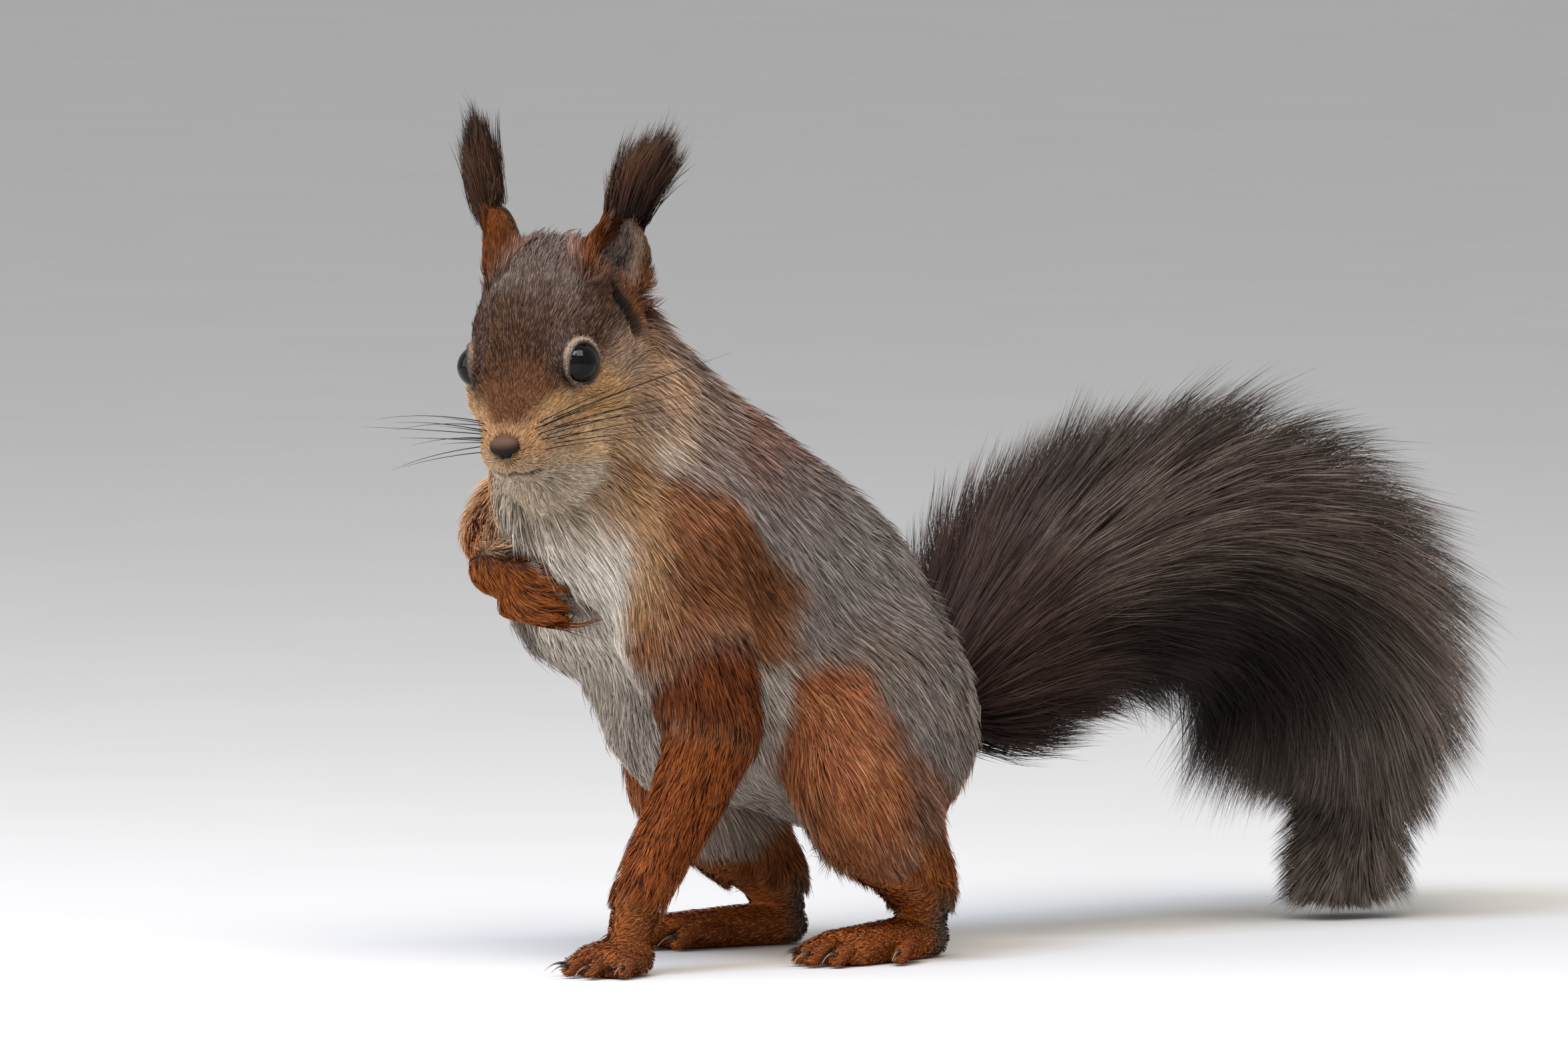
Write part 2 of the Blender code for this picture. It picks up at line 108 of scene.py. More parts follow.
def smoothLine(stations, steps):
    # stations joined by a Catmull-Rom curve, radii too
    points = np.array(stations, float)
    padded = np.vstack([2 * points[0] - points[1], points, 2 * points[-1] - points[-2]])
    line = []
    for i in range(len(points) - 1):
        a, b, c, d = padded[i:i + 4]
        for step in range(steps):
            t = step / steps
            line.append(0.5 * (2 * b + (c - a) * t + (2 * a - 5 * b + 4 * c - d) * t * t
                               + (3 * b - a - 3 * c + d) * t ** 3))
    return np.array(line + [points[-1]])


# the head's own frame: forward along the muzzle, left, and up through the crown

headMarks = {
    "noseReach": 22.0,      # the nose's middle in front of the point between the eyes
    "noseDrop": 9.6,        # and below it
    "eyeLift": 0.9,         # the balls sit this much higher than their rooms
    "pad": (21.4, -0.4, -7.8),
}
eyeSpots = {1: spot("eye_left", 0.5, 0.5, 0.5), -1: spot("eye_right", 0.5, 0.5, 0.5)}
noseSpot = spot("nose", 0.5, 0.5, 0.5)
eyeRadius = np.ptp(corners("eye_left"), axis=0).max() / 2
betweenEyes = (eyeSpots[1] + eyeSpots[-1]) / 2
leftward = unit(eyeSpots[1] - eyeSpots[-1])
toNose = noseSpot - betweenEyes
toNose = unit(toNose - leftward * dots(toNose, leftward))
aboveNose = np.cross(toNose, leftward)
noseTilt = math.atan2(headMarks["noseDrop"], headMarks["noseReach"])
forward = math.cos(noseTilt) * toNose + math.sin(noseTilt) * aboveNose
upward = math.cos(noseTilt) * aboveNose - math.sin(noseTilt) * toNose
headAxes = np.array([forward, leftward, upward])


def onHead(points):
    return (points - betweenEyes) @ headAxes.T


def fromHead(marks):
    return betweenEyes + np.asarray(marks, float) @ headAxes


eyeSpots = {side: place + upward * headMarks["eyeLift"] for side, place in eyeSpots.items()}
padSpot = fromHead(headMarks["pad"])

# marks on the head for each ear, as if on the left: its foot, its top and the way it widens
ears = {
    1: {"foot": (-20.8, 16.3, 4.3), "top": (-29.0, 18.3, 18.5), "width": (-0.75, 0.43, -0.5)},
    -1: {"foot": (-20.5, 15.5, 8.0), "top": (-29.0, 14.5, 24.0), "width": (-0.8, 0.38, -0.46)},
}
earHalf = 7.3               # half an ear's width


def earAxes(side):
    # an ear's rise, its width from front to rear edge, and the way its hollow opens, in the world
    rise = unit(np.subtract(ears[side]["top"], ears[side]["foot"]))
    width = np.array(ears[side]["width"])
    width = unit(width - rise * dots(width, rise))
    facing = np.cross(width, rise)
    return [(axis * (1, side, 1)) @ headAxes for axis in (rise, width, facing)]


def onEar(points, side):
    # height on an ear, 0 at its foot and 1 at its top, and place across it, -1 in front and 1 behind
    rise, width, _ = earAxes(side)
    foot = fromHead(np.array(ears[side]["foot"]) * (1, side, 1))
    height = np.linalg.norm(np.subtract(ears[side]["top"], ears[side]["foot"]))
    return (points - foot) @ rise / height, (points - foot) @ width / earHalf


earRises = {side: earAxes(side)[0] for side in (1, -1)}

# the slit below an ear's hollow, painted near black as its shade; from and to: up the ear from its foot and
# across it, mm
earSlit = {"from": (0.8, -2.4), "to": (-7.4, 1.4), "half": 1.8}


def slitGap(points, side):
    # distance from the slit's middle line, on the side of the head
    height, across = onEar(points, side)
    tall = np.linalg.norm(np.subtract(ears[side]["top"], ears[side]["foot"]))
    place = np.stack([height * tall, across * earHalf], axis=1)
    start, run = np.array(earSlit["from"]), np.subtract(earSlit["to"], earSlit["from"])
    share = np.clip((place - start) @ run / (run @ run), 0, 1)
    gap = np.linalg.norm(place - start - share[:, None] * run, axis=1)
    return np.where(onHead(points)[:, 1] * side > 9, gap, 50.0)


def eyeDistance(points):
    left, right = (np.linalg.norm(points - eyeSpots[side], axis=1) for side in (1, -1))
    return np.minimum(left, right)


# meshes as arrays

def linked(name, data):
    # a new object in the scene
    made = bpy.data.objects.new(name, data)
    bpy.context.scene.collection.objects.link(made)
    return made


def readMesh(mesh):
    points = np.empty(len(mesh.vertices) * 3, np.float32)
    mesh.vertices.foreach_get("co", points)
    mesh.calc_loop_triangles()
    triangles = np.empty(len(mesh.loop_triangles) * 3, np.int32)
    mesh.loop_triangles.foreach_get("vertices", triangles)
    return points.reshape(-1, 3).astype(float) / mm, triangles.reshape(-1, 3)


def normalsOf(points, triangles):
    a, b, c = (points[triangles[:, i]] for i in range(3))
    across = np.cross(b - a, c - a)
    total = np.stack([sum(np.bincount(triangles[:, i], across[:, axis], len(points)) for i in range(3))
                      for axis in range(3)], axis=1)
    return unit(total)


def netOf(triangles, count):
    # each vertex's neighbours, in one sorted list
    pairs = np.concatenate([triangles[:, ends] for ends in ([0, 1], [1, 2], [2, 0])]).astype(np.int64)
    pairs = np.concatenate([pairs, pairs[:, ::-1]])
    codes = np.unique(pairs[:, 0] * count + pairs[:, 1])
    owners, others = codes // count, codes % count
    degree = np.bincount(owners, minlength=count)
    starts = np.concatenate([[0], np.cumsum(degree)[:-1]])
    return others, starts, degree


def spread(values, net, rounds, share=0.5):
    # values eased towards their neighbours' mean, round by round
    others, starts, degree = net
    flat = values.ndim == 1
    values = values[:, None] if flat else values
    for _ in range(rounds):
        mean = np.add.reduceat(values[others], starts, axis=0) / degree[:, None]
        values = values + (mean - values) * share
    return values[:, 0] if flat else values


def meshFrom(name, points, triangles, colours=None, normals=None, places=None):
    mesh = bpy.data.meshes.new(name)
    mesh.vertices.add(len(points))
    mesh.vertices.foreach_set("co", (points * mm).astype(np.float32).ravel())
    mesh.loops.add(triangles.size)
    mesh.loops.foreach_set("vertex_index", triangles.astype(np.int32).ravel())
    mesh.polygons.add(len(triangles))
    mesh.polygons.foreach_set("loop_start", np.arange(0, triangles.size, 3, dtype=np.int32))
    mesh.update(calc_edges=True)
    mesh.shade_smooth()
    if colours is not None:
        layer = mesh.attributes.new("markings", "FLOAT_COLOR", "POINT")
        full = np.ones((len(points), 4), np.float32)
        full[:, :3] = colours
        layer.data.foreach_set("color", full.ravel())
    if places is not None:
        layer = mesh.uv_layers.new(name="OFBake")
        layer.uv.foreach_set("vector", places[triangles.ravel()].astype(np.float32).ravel())
    if normals is not None:
        mesh.normals_split_custom_set_from_vertices(normals.astype(np.float32))
    return mesh


def pieceFrom(name, mesh, material, replaced=()):
    piece = linked(name, mesh)
    if not mesh.materials:
        mesh.materials.append(material)
    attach(piece, "root")
    if replaced:
        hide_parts(*replaced)


def evaluated(mesh, kind, sockets=(), **settings):
    # the mesh with one modifier applied; sockets are a node tree's inputs and their values
    guide = linked("guide", mesh)
    modifier = guide.modifiers.new(kind.lower(), kind)
    for key, value in settings.items():
        setattr(modifier, key, value)
    for key, value in sockets:
        modifier[key] = value
    result = bpy.data.meshes.new_from_object(guide.evaluated_get(bpy.context.evaluated_depsgraph_get()))
    guide.modifiers.remove(modifier)
    bpy.data.objects.remove(guide)
    return result


# materials

def node(tree, kind, settings=None, **links):
    # adds a node, sets what is plain on it and links what is a socket
    made = tree.nodes.new(kind)
    for key, value in (settings or {}).items():
        if hasattr(made, key):
            setattr(made, key, value)
        else:
            made.inputs[key.replace("_", " ")].default_value = value
    for key, source in links.items():
        tree.links.new(source, made.inputs[key.replace("_", " ")])
    return made


def newMaterial(name, **sockets):
    material = bpy.data.materials.new(name)
    material.use_nodes = True
    tree = material.node_tree
    shader = tree.nodes["Principled BSDF"]
    for key, value in sockets.items():
        shader.inputs[key.replace("_", " ")].default_value = value
    return material, tree, shader


def colourOf(hexColour):
    return (*linear(hexColour), 1.0)


def hairMaterial():
    # keratin guard hair, grown and weathered: soft broken gloss, colour banded along each hair
    material, tree, shader = newMaterial("guard hair", Roughness=0.58, IOR=1.55, Specular_IOR_Level=0.09)
    markings = node(tree, "ShaderNodeAttribute", {"attribute_name": "markings"})
    place = node(tree, "ShaderNodeTexCoord")
    # painted glints and shade: the colour is mottled lighter and darker, about 0.6 mm across, where single
    # hairs catch the light
    paintedGlints = node(tree, "ShaderNodeTexNoise", {"Scale": 1600.0, "Detail": 1.0},
                  Vector=place.outputs["Object"])
    glintGain = node(tree, "ShaderNodeMapRange",
                {"From_Min": 0.3, "From_Max": 0.7, "To_Min": 0.86, "To_Max": 1.14},
                Value=paintedGlints.outputs["Fac"])
    shade = node(tree, "ShaderNodeVectorMath", {"operation": "SCALE"}, Vector=markings.outputs["Color"],
                 Scale=glintGain.outputs["Result"])
    tree.links.new(shade.outputs["Vector"], shader.inputs["Base Color"])
    return material


def hideMaterial():
    # living hide under fur: matt, finely creased
    material, tree, shader = newMaterial("furred hide", Roughness=0.75, Specular_IOR_Level=0.25)
    markings = node(tree, "ShaderNodeAttribute", {"attribute_name": "markings"})
    place = node(tree, "ShaderNodeTexCoord")
    # creases about 0.5 mm apart
    creases = node(tree, "ShaderNodeTexNoise", {"Scale": 2000.0, "Detail": 4.0},
                   Vector=place.outputs["Object"])
    bump = node(tree, "ShaderNodeBump", {"Strength": 0.5, "Distance": 0.0003}, Height=creases.outputs["Fac"])
    tree.links.new(markings.outputs["Color"], shader.inputs["Base Color"])
    tree.links.new(bump.outputs["Normal"], shader.inputs["Normal"])
    return material


def eyeMaterial():
    # wet cornea over a dark iris: mirror gloss, near black below it
    material, tree, shader = newMaterial("wet cornea", Roughness=0.04, IOR=1.376, Specular_IOR_Level=0.32)
    markings = node(tree, "ShaderNodeAttribute", {"attribute_name": "markings"})
    tree.links.new(markings.outputs["Color"], shader.inputs["Base Color"])
    return material


def noseMaterial():
    # bare leathery skin of the nose: pebbled, a little moist
    material, tree, shader = newMaterial("nose leather", Roughness=0.6, Specular_IOR_Level=0.16)
    markings = node(tree, "ShaderNodeAttribute", {"attribute_name": "markings"})
    place = node(tree, "ShaderNodeTexCoord")
    # pebbles 0.3 mm across
    pebbles = node(tree, "ShaderNodeTexVoronoi", {"Scale": 3300.0}, Vector=place.outputs["Object"])
    bump = node(tree, "ShaderNodeBump", {"Strength": 0.35, "Distance": 0.0001, "invert": True},
                Height=pebbles.outputs["Distance"])
    tree.links.new(markings.outputs["Color"], shader.inputs["Base Color"])
    tree.links.new(bump.outputs["Normal"], shader.inputs["Normal"])
    return material


def lidMaterial():
    # bare wet lid skin: dark, smooth and glossy
    material, tree, shader = newMaterial("wet lid skin", Roughness=0.35, Base_Color=colourOf("241a19"))
    place = node(tree, "ShaderNodeTexCoord")
    grain = node(tree, "ShaderNodeTexNoise", {"Scale": 2500.0, "Detail": 2.0},
                 Vector=place.outputs["Object"])
    bump = node(tree, "ShaderNodeBump", {"Strength": 0.3, "Distance": 0.0001}, Height=grain.outputs["Fac"])
    tree.links.new(bump.outputs["Normal"], shader.inputs["Normal"])
    return material


def whiskerMaterial():
    # stiff black bristle: a dull sheen, streaked along its length
    material, tree, shader = newMaterial("whisker keratin", Roughness=0.5, Specular_IOR_Level=0.15)
    place = node(tree, "ShaderNodeTexCoord")
    streaks = node(tree, "ShaderNodeTexNoise", {"Scale": 900.0, "Detail": 3.0},
                   Vector=place.outputs["Object"])
    ramp = node(tree, "ShaderNodeValToRGB", Fac=streaks.outputs["Fac"])
    ramp.color_ramp.elements[0].position = 0.42
    ramp.color_ramp.elements[0].color = colourOf("050403")
    ramp.color_ramp.elements[1].position = 0.75
    ramp.color_ramp.elements[1].color = colourOf("140e0b")
    tree.links.new(ramp.outputs["Color"], shader.inputs["Base Color"])
    return material


def clawMaterial():
    # horn grown in layers: black at the root, worn pale and clear at the tip, glossy
    material, tree, shader = newMaterial("claw horn", Roughness=0.3, IOR=1.55)
    along = node(tree, "ShaderNodeAttribute", {"attribute_name": "along"})
    ramp = node(tree, "ShaderNodeValToRGB", Fac=along.outputs["Fac"])
    ramp.color_ramp.elements[0].position = 0.35
    ramp.color_ramp.elements[0].color = colourOf("0d0908")
    ramp.color_ramp.elements[1].position = 0.95
    ramp.color_ramp.elements[1].color = colourOf("a08f7c")
    tree.links.new(ramp.outputs["Color"], shader.inputs["Base Color"])
    return material


guardHair = hairMaterial()
hide = hideMaterial()
cornea = eyeMaterial()
noseLeather = noseMaterial()
wetLid = lidMaterial()
whiskerHorn = whiskerMaterial()
clawHorn = clawMaterial()
print("materials made")


# flesh: the CAD's solids drawn in to the hide, with paws made at full finish

handed = ("thigh", "shank", "hind_foot", "upper_arm", "forearm", "forepaw", "ear")
tailNodes = ["tail_base", "tail_arch", "tail_bend", "tail_tip"]
fleshNodes = ["head", "neck", "trunk"] + [f"{part}_{side}" for part in handed for side in ("left", "right")]
fleshNodes += tailNodes
pawNodes = ["hind_foot_left", "hind_foot_right", "forepaw_left", "forepaw_right"]

hideSettings = {
    "swell": 0.35,          # joins solids that stand 0.3 mm apart
    "voxel": 1.05,
    "pawVoxel": 0.55,
    "pawDepth": 0.7,        # coat on the toes, taken off their radii
    "coatDepth": {          # how far the hide lies inside the tips of the coat
        "head": 2.2, "neck": 4.2, "trunk": 4.5, "thigh": 4.0, "shank": 2.6, "hind_foot": 0.8,
        "upper_arm": 3.4, "forearm": 2.2, "forepaw": 0.8, "ear": 0.55, "tail": 0.0,
    },
    "relax": {              # rounds that soften the solids' facets
        "head": 8, "neck": 30, "trunk": 30, "thigh": 24, "shank": 14, "hind_foot": 2,
        "upper_arm": 16, "forearm": 12, "forepaw": 1, "ear": 4, "tail": 2,
    },
}

hindFoot = {                # lengths along the sole from the heel, and what each toe is
    "heel": (0.32, 0.867), "turnOut": 12, "back": 5.5, "front": 5.0, "sole": 30, "spread": 3.3,
    "toes": ((-2, 23, 14), (-1, 28, 15.5), (0, 29, 16.5), (1, 28, 15), (2.7, 18, 11)),
    "toe": 2.5, "fan": 8, "claw": 6.4, "apart": 7,
    "leg": ((14.5, 1.0, 27, 10), (4.3, 1.1, 18, 7.4), (1.5, 0.5, 11, 5.8), (0, 0, 5, 4.8)),
}
forePaw = {
    "heel": (0.43, 0.74), "turnOut": 6, "back": 5.2, "front": 4.8, "sole": 9, "spread": 3.5,
    "toes": ((-1.6, 7, 9.5), (-0.5, 9, 11.5), (0.6, 9, 11), (1.7, 6, 9)),
    "toe": 2.2, "fan": 12, "claw": 5.6, "apart": 7,
    "leg": ((-12.6, 4.3, 37, 6.6), (-1.9, 1.2, 18, 5.0), (0.5, 0, 8, 4.5)),
}
fist = {                    # curled fingers, given across the fist, out of it and up it
    "centre": (0.596, 0.526, 0.415), "across": (0.64, 0.77, 0), "out": (0.77, -0.64, 0),
    "radius": 4.8, "fingers": 4, "top": 5.0, "pitch": 3.5, "lower": 1.4,
    "knuckle": (-6, 4.0, 1.9), "middle": (0.5, 6.0, 1.72), "bend": (5.8, 3.6, 1.6), "tip": (5.2, -1, 1.3),
    "wrist": (-9, 0, 4.5, 5.2), "claw": 3.6,
}

heldShift = np.array([1.3, 1.5, 3.3])   # the held arm is drawn in and up by this much
heldShares = {"forearm_right": 1.0, "forepaw_right": 1.0, "upper_arm_right": 0.5}

tailSettings = {
    # nodes and fractions of their boxes that the tail's line runs through, and its hair's reach there
    "line": (("tail_base", 0.215, 0.273, 16), ("tail_base", 0.363, 0.369, 31),
             ("tail_arch", 0.125, 0.416, 38), ("tail_arch", 0.59, 0.514, 40),
             ("tail_bend", 0.395, 0.426, 48), ("tail_bend", 0.571, 0.111, 44),
             ("tail_tip", 0.521, 0.546, 33), ("tail_tip", 0.466, 0.121, 19)),
    "core": (9.0, 2.6),     # radius of its bony core, at the root and the tip
}


def kindOf(name):
    if name.startswith("tail"):
        return "tail"
    return name.rsplit("_", 1)[0] if name.endswith(("_left", "_right")) else name


def rope(clay, stations, steps=4):
    # a rounded rope through (x, y, z, radius) stations
    line = smoothLine(stations, steps)
    for start, end in zip(line, line[1:]):
        along = Vector(end[:3] - start[:3])
        turn = along.to_track_quat("Z", "Y").to_matrix().to_4x4()
        matrix = Matrix.Translation(Vector((start[:3] + end[:3]) / 2 * mm)) @ turn
        bmesh.ops.create_cone(clay, cap_ends=True, segments=20, radius1=start[3] * mm, radius2=end[3] * mm,
                              depth=along.length * mm, matrix=matrix)
    for station in line:
        matrix = Matrix.Translation(Vector(station[:3] * mm))
        bmesh.ops.create_icosphere(clay, subdivisions=3, radius=station[3] * mm, matrix=matrix)


def footPlaces(form, nodeName, side):
    # a function that places (along, across, up) on a foot; side is 1 for a left one
    low, high = corners(nodeName)
    x, y = form["heel"]
    x = x if side > 0 else 1 - x
    heel = np.array([low[0] + (high[0] - low[0]) * x, low[1] + (high[1] - low[1]) * y, 0])
    turn = math.radians(form["turnOut"])
    along = np.array([math.sin(turn) * side, -math.cos(turn), 0])
    across = np.array([math.cos(turn) * side, math.sin(turn), 0])

    def place(a, b, c):
        return heel + along * a + across * b + np.array([0, 0, c])
    return place


def toeLines(form):
    # each toe as (root, knuckle, end, claw tip), along, across and up
    for across, start, length in form["toes"]:
        fan = math.radians(across * form["fan"])
        run = np.array([math.cos(fan), math.sin(fan), 0])
        root = np.array([start - 4, across * form["spread"] * 0.9, form["front"] * 0.7])
        knuckle = root + (run + (0, 0, 0.08)) * length * 0.55
        end = root + run * length
        end[2] = form["toe"] * 0.75
        tip = end + run * form["claw"]
        tip[2] = 0.5
        yield root, knuckle, end, tip


claws = []                  # (root, tip) of every claw, filled in as the paws are made
creases = []                # lines between toes and fingers, filled in too


def addFoot(clay, form, nodeName, side):
    place = footPlaces(form, nodeName, side)
    depth = hideSettings["pawDepth"]
    back, front, toe = form["back"] - depth, form["front"] - depth, form["toe"] - depth * 0.8
    for across in (-0.8, 0, 0.8):
        shift = across * form["spread"]
        rope(clay, [(*place(0, shift * 0.4, form["back"] * 0.85), back),
                    (*place(form["sole"], shift * 1.4, form["front"] * 0.72), front * 0.85)])
    rope(clay, [(*place(a, b, c), radius) for a, b, c, radius in form["leg"]])
    for root, knuckle, end, tip in toeLines(form):
        crown = knuckle * 0.35 + end * 0.65 + np.array([0, 0, toe * 0.25])
        rope(clay, [(*place(*root), toe * 1.1), (*place(*knuckle), toe * 0.98), (*place(*crown), toe * 0.94),
                    (*place(*end), toe * 0.8)])
        claws.append((place(*(end + np.array([0, 0, toe * 0.25]))), place(*tip)))
    toes = list(toeLines(form))
    for one, other in zip(toes, toes[1:]):
        if abs(one[0][0] - other[0][0]) > form["apart"]:
            continue        # a toe set far back stands by itself
        stations = [(one[i] + other[i]) / 2 for i in range(3)]
        creases.append(smoothLine([place(a, b, c + toe * rise) for (a, b, c), rise in
                                   zip(stations, (0.45, 0.3, 0.0))], 8))


def addFist(clay):
    centre = spot("forepaw_right", *fist["centre"]) + heldShift
    across, out = np.array(fist["across"]), np.array(fist["out"])
    a, b, c, radius = fist["wrist"]
    rope(clay, [(*(centre + across * a + out * b + (0, 0, c)), radius), (*centre, fist["radius"])])
    for finger in range(fist["fingers"]):
        height = fist["top"] - fist["pitch"] * finger
        lifts = {"knuckle": height * 0.85 + 0.8, "middle": height, "bend": height - fist["lower"],
                 "tip": height - fist["lower"]}
        stations = []
        for joint, lift in lifts.items():
            sideways, outwards, radius = fist[joint]
            stations.append((*(centre + across * sideways + out * outwards + (0, 0, lift)), radius))
        rope(clay, stations)
        if finger < fist["fingers"] - 1:
            drop = np.array([0, 0, fist["pitch"] / 2])
            line = [np.array(place[:3]) + out * place[3] * 0.35 - drop for place in stations[:3]]
            creases.append(smoothLine(line, 8)[5:])
        last = np.array(stations[-1][:3])
        claws.append((last, last - across * fist["claw"] - out * 1.6 - (0, 0, 0.8)))


def fleshClay():
    # the solids, swollen until they touch, with balls that fill the eyes' and the nose's rooms
    clay = bmesh.new()
    for name in fleshNodes:
        if name in pawNodes or name in tailNodes:
            continue
        form = bmesh.new()
        form.from_mesh(nodes[name].data)
        bmesh.ops.remove_doubles(form, verts=form.verts, dist=1e-6)
        form.normal_update()
        shifts = [vert.normal * hideSettings["swell"] * mm for vert in form.verts]
        for vert, shift in zip(form.verts, shifts):
            vert.co += shift
        part = bpy.data.meshes.new("part")
        form.to_mesh(part)
        form.free()
        clay.from_mesh(part)
    rope(clay, [(*place[:3], radius) for place, radius in zip(tailLine[::8], coreRadii[::8])])
    for side in (1, -1):
        sections, run, _, _ = tuftSections(side)
        start = sections[0][:3] - run * 4
        rope(clay, [(*start, 1.6), (*sections[0][:3], 1.6), (*sections[2][:3], 1.0)])
    eyeFill, noseFill = eyeRadius * 0.88, 3.2
    for place, radius in ((eyeSpots[1], eyeFill), (eyeSpots[-1], eyeFill), (noseSpot, noseFill)):
        matrix = Matrix.Translation(Vector(place * mm))
        bmesh.ops.create_icosphere(clay, subdivisions=3, radius=radius * mm, matrix=matrix)
    return clay


tailLine = smoothLine([(*spot(name, 0.5, y, z), reach) for name, y, z, reach in tailSettings["line"]], 12)
tailLine[:, 0] = 0
coreRadii = np.linspace(*tailSettings["core"], len(tailLine))


def sharesIn(rng, shape):
    # random shares of two sides of a triangle
    u, v = rng.random(shape)
    flip = u + v > 1
    return np.where(flip, 1 - u, u), np.where(flip, 1 - v, v)


def surfacePoints(name, rounds, seed):
    # points spread over a node's surface, some for each of its triangles
    rng = np.random.default_rng(seed)
    points, triangles = readMesh(nodes[name].data)
    a, b, c = (points[triangles[:, i]] for i in range(3))
    places = []
    for _ in range(rounds):
        u, v = sharesIn(rng, (2, len(triangles), 1))
        places.append(a + (b - a) * u + (c - a) * v)
    return np.concatenate(places)


def tuftSections(side):
    # slices through an ear tuft's solid from root to tip: middle, half width, half thickness;
    # with the way it runs and its broad and thin ways
    points = surfacePoints("ear_tuft_left" if side > 0 else "ear_tuft_right", 40, 12)
    rise, width, _ = earAxes(side)
    heights = points @ rise
    low, high = np.quantile(heights, (0.04, 0.96))
    run = unit(points[heights > high].mean(axis=0) - points[heights < low].mean(axis=0))
    broad = unit(width - run * dots(width, run))
    thin = np.cross(run, broad)
    heights = points @ run
    low, high = heights.min(), heights.max()
    rows = []
    for share in np.linspace(0.03, 0.97, 9):
        level = low + (high - low) * share
        slab = points[np.abs(heights - level) < (high - low) * 0.05]
        least = np.array([(slab @ axis).min() for axis in (broad, thin)])
        most = np.array([(slab @ axis).max() for axis in (broad, thin)])
        middle, half = (least + most) / 2, (most - least) / 2
        rows.append((*(broad * middle[0] + thin * middle[1] + run * level), *half))
    return np.array(rows), run, broad, thin


def toMesh(clay):
    mesh = bpy.data.meshes.new("clay")
    clay.to_mesh(mesh)
    clay.free()
    return mesh


def treeOf(points):
    tree = KDTree(len(points))
    for i, point in enumerate(points.tolist()):
        tree.insert(point, i)
    tree.balance()
    return tree


def labelTree():
    # points spread over every solid of flesh, each knowing its node
    places = [surfacePoints(name, 8, 11) + heldShift * heldShares.get(name, 0) for name in fleshNodes]
    labels = np.repeat(np.arange(len(fleshNodes)), [len(part) for part in places])
    return treeOf(np.concatenate(places)), labels


def nearest(tree, points):
    return np.array([tree.find(point)[1] for point in points.tolist()])


def weightsAt(points, net, rounds):
    # share of each flesh node at every vertex, soft across their borders
    tree, labels = solidSamples
    share = np.eye(len(fleshNodes))[labels[nearest(tree, points)]]
    return spread(share, net, rounds)


def kindShare(weights, *kinds):
    # the share of these kinds of flesh at each point
    picks = [number for number, name in enumerate(fleshNodes) if kindOf(name) in kinds]
    return weights[:, picks].sum(axis=1)


def byKind(weights, values):
    return weights @ np.array([values[kindOf(name)] for name in fleshNodes], float)


def headDepth(marks, away):
    f, _, u = marks.T
    depth = np.full(len(marks), 1.7)
    depth += (2.3 - depth) * ease(-2, -9, u) * ease(10, 0, f)
    depth += (1.1 - depth) * ease(7, 14, f)
    depth += (0.55 - depth) * ease(10, 5.5, away)
    return depth


solidSamples = labelTree()
skinMesh = evaluated(toMesh(fleshClay()), "REMESH", mode="VOXEL", voxel_size=hideSettings["voxel"] * mm)
skinPoints, skinTriangles = readMesh(skinMesh)
print("flesh melted:", len(skinPoints), "points")


def sink(points, triangles):
    # the melted flesh smoothed and drawn in by the coat's depth
    net = netOf(triangles, len(points))
    weights = weightsAt(points, net, 10)
    rounds = byKind(weights, hideSettings["relax"])
    for step in range(int(rounds.max())):
        eased = spread(points, net, 1)
        points = points + (eased - points) * np.clip(rounds - step, 0, 1)[:, None]
    normals = unit(spread(normalsOf(points, triangles), net, 4))
    depth = byKind(weights, hideSettings["coatDepth"])
    headShare = ease(0.3, 0.8, kindShare(weights, "head"))
    depth = depth + (headDepth(onHead(points), eyeDistance(points)) - depth) * headShare
    depth = spread(depth, net, 6)
    for _ in range(4):
        points = points - normals * depth[:, None] / 4
        normals = unit(spread(normalsOf(points, triangles), net, 3))
    eased = spread(points, net, 3)
    return points + (eased - points) * 0.6


skinPoints = sink(skinPoints, skinTriangles)


def raiseArm(points, triangles):
    # the held arm drawn in and up, softly from the shoulder on
    net = netOf(triangles, len(points))
    weights = weightsAt(points, net, 0)
    share = sum(weights[:, fleshNodes.index(name)] * part for name, part in heldShares.items())
    return points + heldShift * spread(share, net, 24)[:, None]


skinPoints = raiseArm(skinPoints, skinTriangles)


def addPaws(points, triangles):
    # the paws, finely made, united with the drawn-in body
    clay = bmesh.new()
    for side, name in ((1, "left"), (-1, "right")):
        addFoot(clay, hindFoot, "hind_foot_" + name, side)
    addFoot(clay, forePaw, "forepaw_left", 1)
    addFist(clay)
    paws = evaluated(toMesh(clay), "REMESH", mode="VOXEL", voxel_size=hideSettings["pawVoxel"] * mm)
    pawPoints, pawTriangles = readMesh(paws)
    net = netOf(pawTriangles, len(pawPoints))
    pawPoints = spread(pawPoints, net, 2)
    pawPoints[:, 2] = np.maximum(pawPoints[:, 2], 0.25)
    cutter = linked("paws", meshFrom("paws", pawPoints, pawTriangles))
    body = meshFrom("body", points, triangles)
    united = evaluated(body, "BOOLEAN", operation="UNION", solver="MANIFOLD", object=cutter)
    bpy.data.objects.remove(cutter)
    return united


skinMesh = addPaws(skinPoints, skinTriangles)
print("paws added:", len(skinMesh.vertices), "points")


